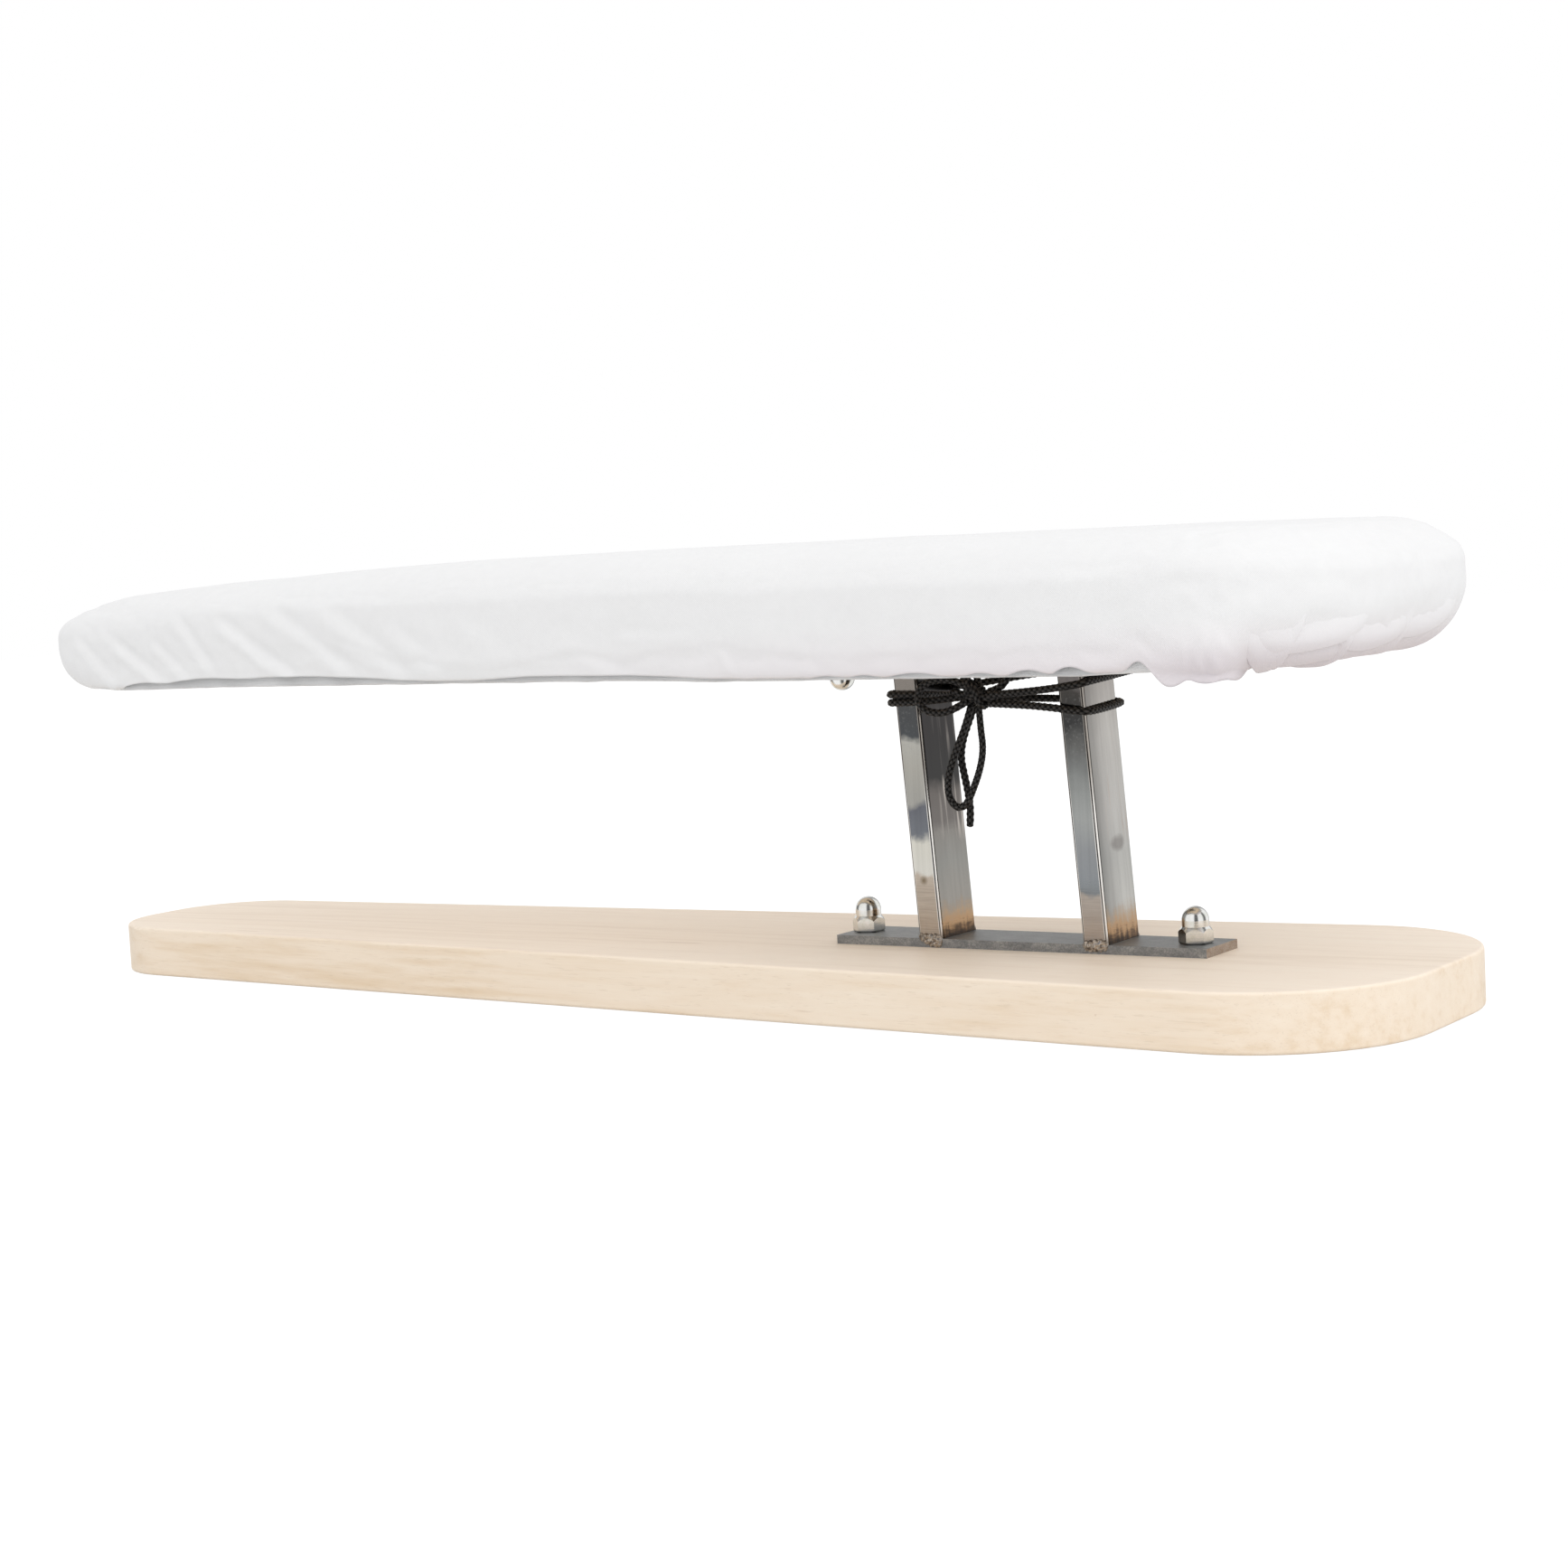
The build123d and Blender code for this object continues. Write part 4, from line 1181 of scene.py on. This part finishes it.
def settle(grid):
    """Lets a skin's rows relax as cloth with a little air under it. Its lowest rows and its top row
    stay."""
    scene = bpy.context.scene
    rows, columns = grid.shape[:2]
    mesh = bpy.data.meshes.new("settling")
    mesh.from_pydata((grid.reshape(-1, 3) * MM).tolist(), [], grid_faces(rows, columns))
    piece = bpy.data.objects.new("settling", mesh)
    scene.collection.objects.link(piece)
    fixed = piece.vertex_groups.new(name="fixed")
    fixed.add(list(range(SETTLE_FIXED_ROWS * columns)), 1.0, "REPLACE")
    fixed.add(list(range((rows - 1) * columns, rows * columns)), 1.0, "REPLACE")
    cloth = piece.modifiers.new("cloth", "CLOTH")
    for setting, value in CLOTH_SETTINGS.items():
        setattr(cloth.settings, setting, value)
    cloth.settings.effector_weights.gravity = 0.0
    cloth.point_cache.frame_end = SETTLE_FRAMES
    for frame_number in range(1, SETTLE_FRAMES + 1):
        scene.frame_set(frame_number)
    solved = piece.evaluated_get(bpy.context.evaluated_depsgraph_get())
    move = np.array([v.co for v in solved.data.vertices]) / MM - grid.reshape(-1, 3)
    far = np.linalg.norm(move, axis=1, keepdims=True)
    move *= np.minimum(1.0, SETTLE_CAP / np.maximum(far, 1e-9))
    scene.frame_set(1)
    bpy.data.objects.remove(piece)
    bpy.data.meshes.remove(mesh)
    return grid + move.reshape(grid.shape)


def apply_modifiers(piece):
    """Turns the piece's modifiers into its mesh."""
    solved = piece.evaluated_get(bpy.context.evaluated_depsgraph_get())
    mesh = bpy.data.meshes.new_from_object(solved)
    old = piece.data
    piece.modifiers.clear()
    piece.data = mesh
    bpy.data.meshes.remove(old)
    mesh.shade_smooth()


def merge_close(piece, distance):
    """Joins points that lie on each other, such as the two sides' points along the spine."""
    solid = bmesh.new()
    solid.from_mesh(piece.data)
    bmesh.ops.remove_doubles(solid, verts=solid.verts, dist=distance)
    solid.to_mesh(piece.data)
    solid.free()


def flat_cover_area():
    """Flat area in square metres of the cloth that the cover is cut from."""
    grid, _ = arm_skin(200, 30, 6, hem_start)
    across = np.roll(grid, -1, 1) - grid
    up = np.diff(grid, axis=0)
    cells = np.linalg.norm(np.cross(across[:-1], up), axis=-1)
    return cells.sum() * MM * MM


def make_cover():
    """White cotton cover: a gathered skin with flaps that overlap near the heel."""
    grid, places = arm_skin(COVER_COLUMNS, COVER_ROWS, CROWN_ROWS, hem_start, hang=True)
    heights = grid[:, :, 2]
    steps = np.linalg.norm(np.diff(grid, axis=0), axis=-1)
    steps_up = np.concatenate([np.zeros((1, COVER_COLUMNS)), np.cumsum(steps, axis=0)])
    normals = grid_normals(grid)
    relief = cover_relief(places, heights) + hem_casing(steps_up)
    spine_fade = np.ones(len(grid))
    spine_fade[COVER_ROWS:] = 1.0 - smoothstep(np.linspace(0.3, 1.0, CROWN_ROWS))
    points = grid + normals * (relief * spine_fade[:, None])[:, :, None]
    rows = COVER_ROWS + CROWN_ROWS
    points[:COVER_ROWS] = settle(points[:COVER_ROWS])
    all_points = [points.reshape(-1, 3)]
    faces = grid_faces(rows, COVER_COLUMNS)
    offset = rows * COVER_COLUMNS
    for edge, tall, lean, lift, hang in FLAPS:
        patch = flap_grid(edge, tall, lean, lift, hang)
        patch_rows, patch_columns = patch.shape[:2]
        all_points.append(patch.reshape(-1, 3))
        new_faces = grid_faces(patch_rows, patch_columns, closed=False)
        faces += [tuple(i + offset for i in reversed(face)) for face in new_faces]
        offset += patch_rows * patch_columns
    piece = new_piece("cotton_cover", np.concatenate(all_points), faces, COTTON)
    merge_close(piece, 0.00002)
    piece.modifiers.new("finer", "SUBSURF").levels = 1
    thick = piece.modifiers.new("thickness", "SOLIDIFY")
    thick.thickness = CLOTH_THICKNESS * MM
    thick.offset = -1.0
    apply_modifiers(piece)
    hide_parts("cover")
    flat_cover_area()


# ---------------------------------------------------------------- pads inside the cover

FELT_DEPTH = 2.8
FELT_THICKNESS = 3.8
FELT_ROWS = 26
FELT_CROWN_ROWS = 8
WADDING_DEPTH = 6.5
PAD_COLUMNS = 300


def closed_pad(name, rings, material):
    """A closed solid from rings that run round the arm, the last joined to the first."""
    points = np.concatenate(rings + rings[:1])
    columns = len(rings[0])
    piece = new_piece(name, points, grid_faces(len(rings) + 1, columns), material)
    merge_close(piece, 0.00001)
    return piece


def flat_ring(ring, inward, height):
    """A ring moved towards the middle of the arm and laid at one height."""
    place = np.arange(len(ring)) * 2 * HALF / len(ring)
    (_, _), (out_x, out_y) = outline_at(place)
    moved = ring.copy()
    moved[:, 0] -= out_x * inward
    moved[:, 1] -= out_y * inward
    moved[:, 2] = height
    return moved


def make_felt():
    """Grey felt that wraps the arm under the cover and turns in under the board."""
    outer, places = arm_skin(PAD_COLUMNS, FELT_ROWS, FELT_CROWN_ROWS, depth=FELT_DEPTH)
    (_, _), (out_x, out_y) = outline_at(places)
    lower = 1.0 - smoothstep((outer[:, :, 2] - rim_z - 8.0) / 8.0)
    step_in = 1.4 * lower
    outer[:, :, 2] -= (FELT_DEPTH + 0.3) * (1.0 - smoothstep((outer[:, :, 2] - rim_z - FELT_DEPTH) / 9.0))
    unevenness = 0.08 * waves(places, outer[:, :, 2], 5, 10, 60.0, 14.0) * (step_in > 0)
    for axis, move in enumerate((-out_x * step_in, -out_y * step_in, unevenness)):
        outer[:FELT_ROWS, :, axis] += move[:FELT_ROWS]
    inner, _ = arm_skin(PAD_COLUMNS, FELT_ROWS, FELT_CROWN_ROWS, depth=FELT_DEPTH + FELT_THICKNESS)
    board_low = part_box("top_board")[0].z / MM
    wall = [ring for ring in inner[::-1] if ring[:, 2].min() > board_low + 8.0]
    foot = outer[0]
    flange_low = board_low - 4.0
    under = [
        flat_ring(foot, 22.0, board_low - 0.1),
        flat_ring(foot, 22.0, flange_low),
        flat_ring(foot, 8.0, flange_low),
        flat_ring(foot, 7.4, foot[:, 2].mean() + 0.3),
    ]
    turn = flat_ring(wall[-1], 3.0, board_low - 0.1)
    piece = closed_pad("felt_wrap", list(outer) + wall + [turn] + under, FELT)
    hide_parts("felt_pad")


def make_wadding():
    """Soft wadding that crowns the arm between the board and the felt."""
    outer, _ = arm_skin(PAD_COLUMNS // 2, 30, 6, depth=WADDING_DEPTH)
    board_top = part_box("top_board")[1].z / MM
    rings = [ring for ring in outer if ring[:, 2].min() > board_top + 0.6]
    base = [flat_ring(rings[0], inward, board_top + 0.2) for inward in (0.0, 8.0)]
    middle = outer[-1].copy()
    middle[:, 2] = board_top + 0.2
    piece = closed_pad("crown_wadding", [middle, base[1], base[0]] + rings, WADDING)
    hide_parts("wadding_pad")


def plain_tube(line, radius, ring):
    """Points and faces of a smooth round tube with closed ends."""
    across, other = carried_frames(line)
    turn = np.linspace(0.0, tau, ring, endpoint=False)[None, :, None]
    points = line[:, None] + radius * (across[:, None] * np.cos(turn) + other[:, None] * np.sin(turn))
    faces = grid_faces(len(line), ring)
    last = (len(line) - 1) * ring
    faces.append(tuple(reversed(range(ring))))
    faces.append(tuple(range(last, last + ring)))
    return points.reshape(-1, 3), faces


# The drawcord in the hem: how deep under the skin, how far above the hem's edge, how much further
# where the hem hangs loose, and how many points round the arm.
HEM_RUN_DEPTH = 2.6
HEM_RUN_RISE = 4.6
HEM_RUN_LOOSE_RISE = 4.5
HEM_RUN_COLUMNS = 900


def hem_run_start(place):
    """How far up the skin the drawcord lies, higher where the hem hangs loose near the heel."""
    loose = smoothstep((place - 700.0) / 14.0) * smoothstep((790.0 - place) / 25.0)
    return hem_start(place) + HEM_RUN_RISE + HEM_RUN_LOOSE_RISE * loose


def make_hem_run():
    """The part of the drawcord inside the hem, from one exit round the arm to the other."""
    ends = (np.array(HEEL_STRAND[0]) / MM, np.array(TIP_STRAND[0]) / MM)
    centre, _ = arm_skin(HEM_RUN_COLUMNS, 30, 1, hem_run_start, depth=HEM_RUN_DEPTH)
    loop = centre[0]
    far = loop[:, 1] > 0
    first = np.flatnonzero(far & (np.abs(loop[:, 0] - ends[0][0]) < 1.6))[0]
    last = np.flatnonzero(far & (np.abs(loop[:, 0] - ends[1][0]) < 1.6))[-1]
    order = np.arange(first, last - HEM_RUN_COLUMNS, -1) % HEM_RUN_COLUMNS
    line = loop[order]
    for _ in range(12):
        line[1:-1] = 0.5 * line[1:-1] + 0.25 * (line[:-2] + line[2:])
    line, places = evenly(line, 2.4)
    for end, distance in ((0, places), (1, places[-1] - places)):
        ease = 1.0 - smoothstep(distance / 25.0)
        line = line + (ends[end] - line[-end])[None, :] * ease[:, None]
    points, faces = plain_tube(line, CORD_DIAMETER / 2, 14)
    piece = new_piece("drawcord_in_hem", points, faces, BLACK_BRAID)
    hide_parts("drawcord_hem_run")


# ---------------------------------------------------------------- welds

BEAD_HALF_LENGTH = 6.2
BEAD_RISE = 1.5


def bead_points(centre, outward, seed, slant):
    """A lumpy bead that runs along X on a face that looks along outward. slant makes it deeper
    towards the heel."""
    draw = np.random.default_rng(seed)
    x = np.linspace(-1.0, 1.0, 65)
    turn = np.linspace(0.0, pi, 25)
    ripple = 0.86 + 0.22 * np.abs(np.sin(x * pi * 2.6 + draw.uniform(0, pi)))
    wander = 0.35 * np.sin(2.3 * x + draw.uniform(0, tau)) - slant * 0.9 * x
    fade = np.sqrt(np.clip(1.0 - np.abs(x) ** 4.0, 0.0, 1.0)) * ripple
    rows = []
    for place, size, shift in zip(x, fade, wander):
        tall = 2.7 * size * (1.0 + slant * 0.35 * place)
        rows.append(
            np.stack(
                [
                    place * BEAD_HALF_LENGTH + 0 * turn,
                    -outward * 0.5 + outward * (BEAD_RISE + 0.5) * size * np.sin(turn) ** 0.6,
                    shift - 0.3 + tall * np.cos(turn),
                ],
                1,
            )
        )
    rows = np.array(rows)
    lumps = waves(rows[:, :, 0], rows[:, :, 2], seed, 16, 5.0, 1.2)
    rows[:, :, 1] += outward * 0.22 * lumps * np.sin(turn)[None, :]
    rows[:, :, 2] += 0.12 * lumps
    return rows + centre


def make_welds():
    """Weld beads at both ends of each leg, one on each side."""
    for side_name in ("tip", "heel"):
        for end_name in ("foot", "head"):
            node = f"{side_name}_leg_{end_name}_welds"
            low, high = (np.array(corner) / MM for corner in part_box(node))
            middle = (low + high) / 2
            face_y = high[1] - 1.0
            grids = []
            for index, outward in enumerate((-1.0, 1.0)):
                centre = (middle[0], outward * face_y, middle[2])
                slant = 1.0 if side_name == "tip" else 0.2
                grids.append(bead_points(np.array(centre), outward, len(node) + 7 * index, slant))
            points = np.concatenate([grid.reshape(-1, 3) for grid in grids])
            rows, columns = grids[0].shape[:2]
            faces = grid_faces(rows, columns)
            faces += [tuple(i + rows * columns for i in reversed(face)) for face in faces]
            piece = new_piece(node.replace("welds", "weld_beads"), points, faces, WELD)
            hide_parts(node)


# ---------------------------------------------------------------- stage and light


# Tone by direction round the object, from straight behind it through its front and round again.
MIRROR_TONES = [
    (0.0, 0.8), (0.06, 0.9), (0.11, 1.0), (0.14, 0.2), (0.20, 0.15), (0.24, 1.0), (0.44, 1.0),
    (0.465, 0.12), (0.53, 0.12), (0.555, 1.0), (0.66, 1.0), (0.69, 0.2), (0.73, 0.15), (0.765, 1.0),
    (0.87, 1.0), (0.93, 0.3), (1.0, 0.8),
]
FILL_COLOUR = (0.995, 0.995, 1.0, 1.0)
FILL_STRENGTH = 1.04
KEY_PLACE = (1.9, -1.0, 1.45)
KEY_AIM = (0.0, 0.0, 0.12)
KEY_SIZE = 1.3
KEY_POWER = 9.5
FLOOR_GAP = 0.0002
FLOOR_GLOW = 1.16
FLOOR_GLOW_SHARE = 0.86


def mirror_tone(tree):
    """A studio for polished metal to mirror: upright bright panels with dark gaps between them."""

    def node(kind, operation, *values):
        made = tree.nodes.new(kind)
        made.operation = operation
        for socket, value in zip(made.inputs, values):
            if isinstance(value, bpy.types.NodeSocket):
                tree.links.new(value, socket)
            else:
                socket.default_value = value
        return made

    place = tree.nodes.new("ShaderNodeTexCoord").outputs["Generated"]
    ahead = (sin(CAMERA_AZIMUTH), -cos(CAMERA_AZIMUTH), 0.0)
    aside = (cos(CAMERA_AZIMUTH), sin(CAMERA_AZIMUTH), 0.0)
    parts = [
        node("ShaderNodeVectorMath", "DOT_PRODUCT", place, way).outputs["Value"] for way in (aside, ahead)
    ]
    turn = node("ShaderNodeMath", "ARCTAN2", *parts).outputs[0]
    share = node("ShaderNodeMath", "MULTIPLY_ADD", turn, 1.0 / tau, 0.5).outputs[0]
    ramp = tree.nodes.new("ShaderNodeValToRGB")
    tree.links.new(share, ramp.inputs[0])
    while len(ramp.color_ramp.elements) < len(MIRROR_TONES):
        ramp.color_ramp.elements.new(0.5)
    for element, (position, grey) in zip(ramp.color_ramp.elements, MIRROR_TONES):
        element.position = position
        element.color = (grey, grey, grey, 1.0)
    return ramp.outputs[0]


def make_world():
    """White to the camera, a little dimmer as light, and a patterned studio in mirrors."""
    world = bpy.data.worlds.new("studio")
    bpy.context.scene.world = world
    world.use_nodes = True
    tree = world.node_tree
    white = tree.nodes["Background"]
    white.inputs["Color"].default_value = (1.0, 1.0, 1.0, 1.0)
    white.inputs["Strength"].default_value = 1.0
    fill = tree.nodes.new("ShaderNodeBackground")
    fill.inputs["Color"].default_value = FILL_COLOUR
    fill.inputs["Strength"].default_value = FILL_STRENGTH
    mirror = tree.nodes.new("ShaderNodeBackground")
    tree.links.new(mirror_tone(tree), mirror.inputs["Color"])
    rays = tree.nodes.new("ShaderNodeLightPath")
    shown = fill
    for ray, other in (("Is Glossy Ray", mirror), ("Is Camera Ray", white)):
        mix = tree.nodes.new("ShaderNodeMixShader")
        tree.links.new(rays.outputs[ray], mix.inputs[0])
        tree.links.new(shown.outputs[0], mix.inputs[1])
        tree.links.new(other.outputs[0], mix.inputs[2])
        shown = mix
    tree.links.new(shown.outputs[0], tree.nodes["World Output"].inputs["Surface"])


def make_floor():
    """Plain white floor just under the board. Straight to the camera it is mostly a plain glow."""
    bpy.ops.mesh.primitive_plane_add(size=10.0, location=(0.0, 0.0, -FLOOR_GAP))
    floor = bpy.context.object
    floor.name = "floor"
    floor.visible_glossy = False
    paint = Paint("floor_white", Roughness=0.95, Specular_IOR_Level=0.0)
    paint.set("Base Color", (0.8, 0.8, 0.8, 1.0))
    plain = paint.shader
    glow = paint.node("Emission", [("Color", (1.0, 1.0, 1.0, 1.0)), ("Strength", FLOOR_GLOW)])
    seen = paint.times(paint.node("LightPath").outputs["Is Camera Ray"], FLOOR_GLOW_SHARE)
    mix = paint.node("MixShader", [(0, seen)])
    paint.links.new(plain.outputs[0], mix.inputs[1])
    paint.links.new(glow.outputs[0], mix.inputs[2])
    paint.links.new(mix.outputs[0], paint.nodes["Material Output"].inputs["Surface"])
    floor.data.materials.append(paint.material)


def make_lights():
    """One large soft light high on the near side, towards the heel."""
    data = bpy.data.lights.new("key_light", "AREA")
    data.size = KEY_SIZE
    data.energy = KEY_POWER
    light = bpy.data.objects.new("key_light", data)
    light.location = KEY_PLACE
    light.rotation_euler = (Vector(KEY_AIM) - Vector(KEY_PLACE)).to_track_quat("-Z", "Y").to_euler()
    light.visible_glossy = False
    light.visible_camera = False
    collection.objects.link(light)
    bpy.context.scene.view_settings.view_transform = "Standard"


# ---------------------------------------------------------------- build

paint_nodes()
make_cover()
make_felt()
make_wadding()
make_cords()
make_hem_run()
make_welds()
make_world()
make_floor()
make_lights()
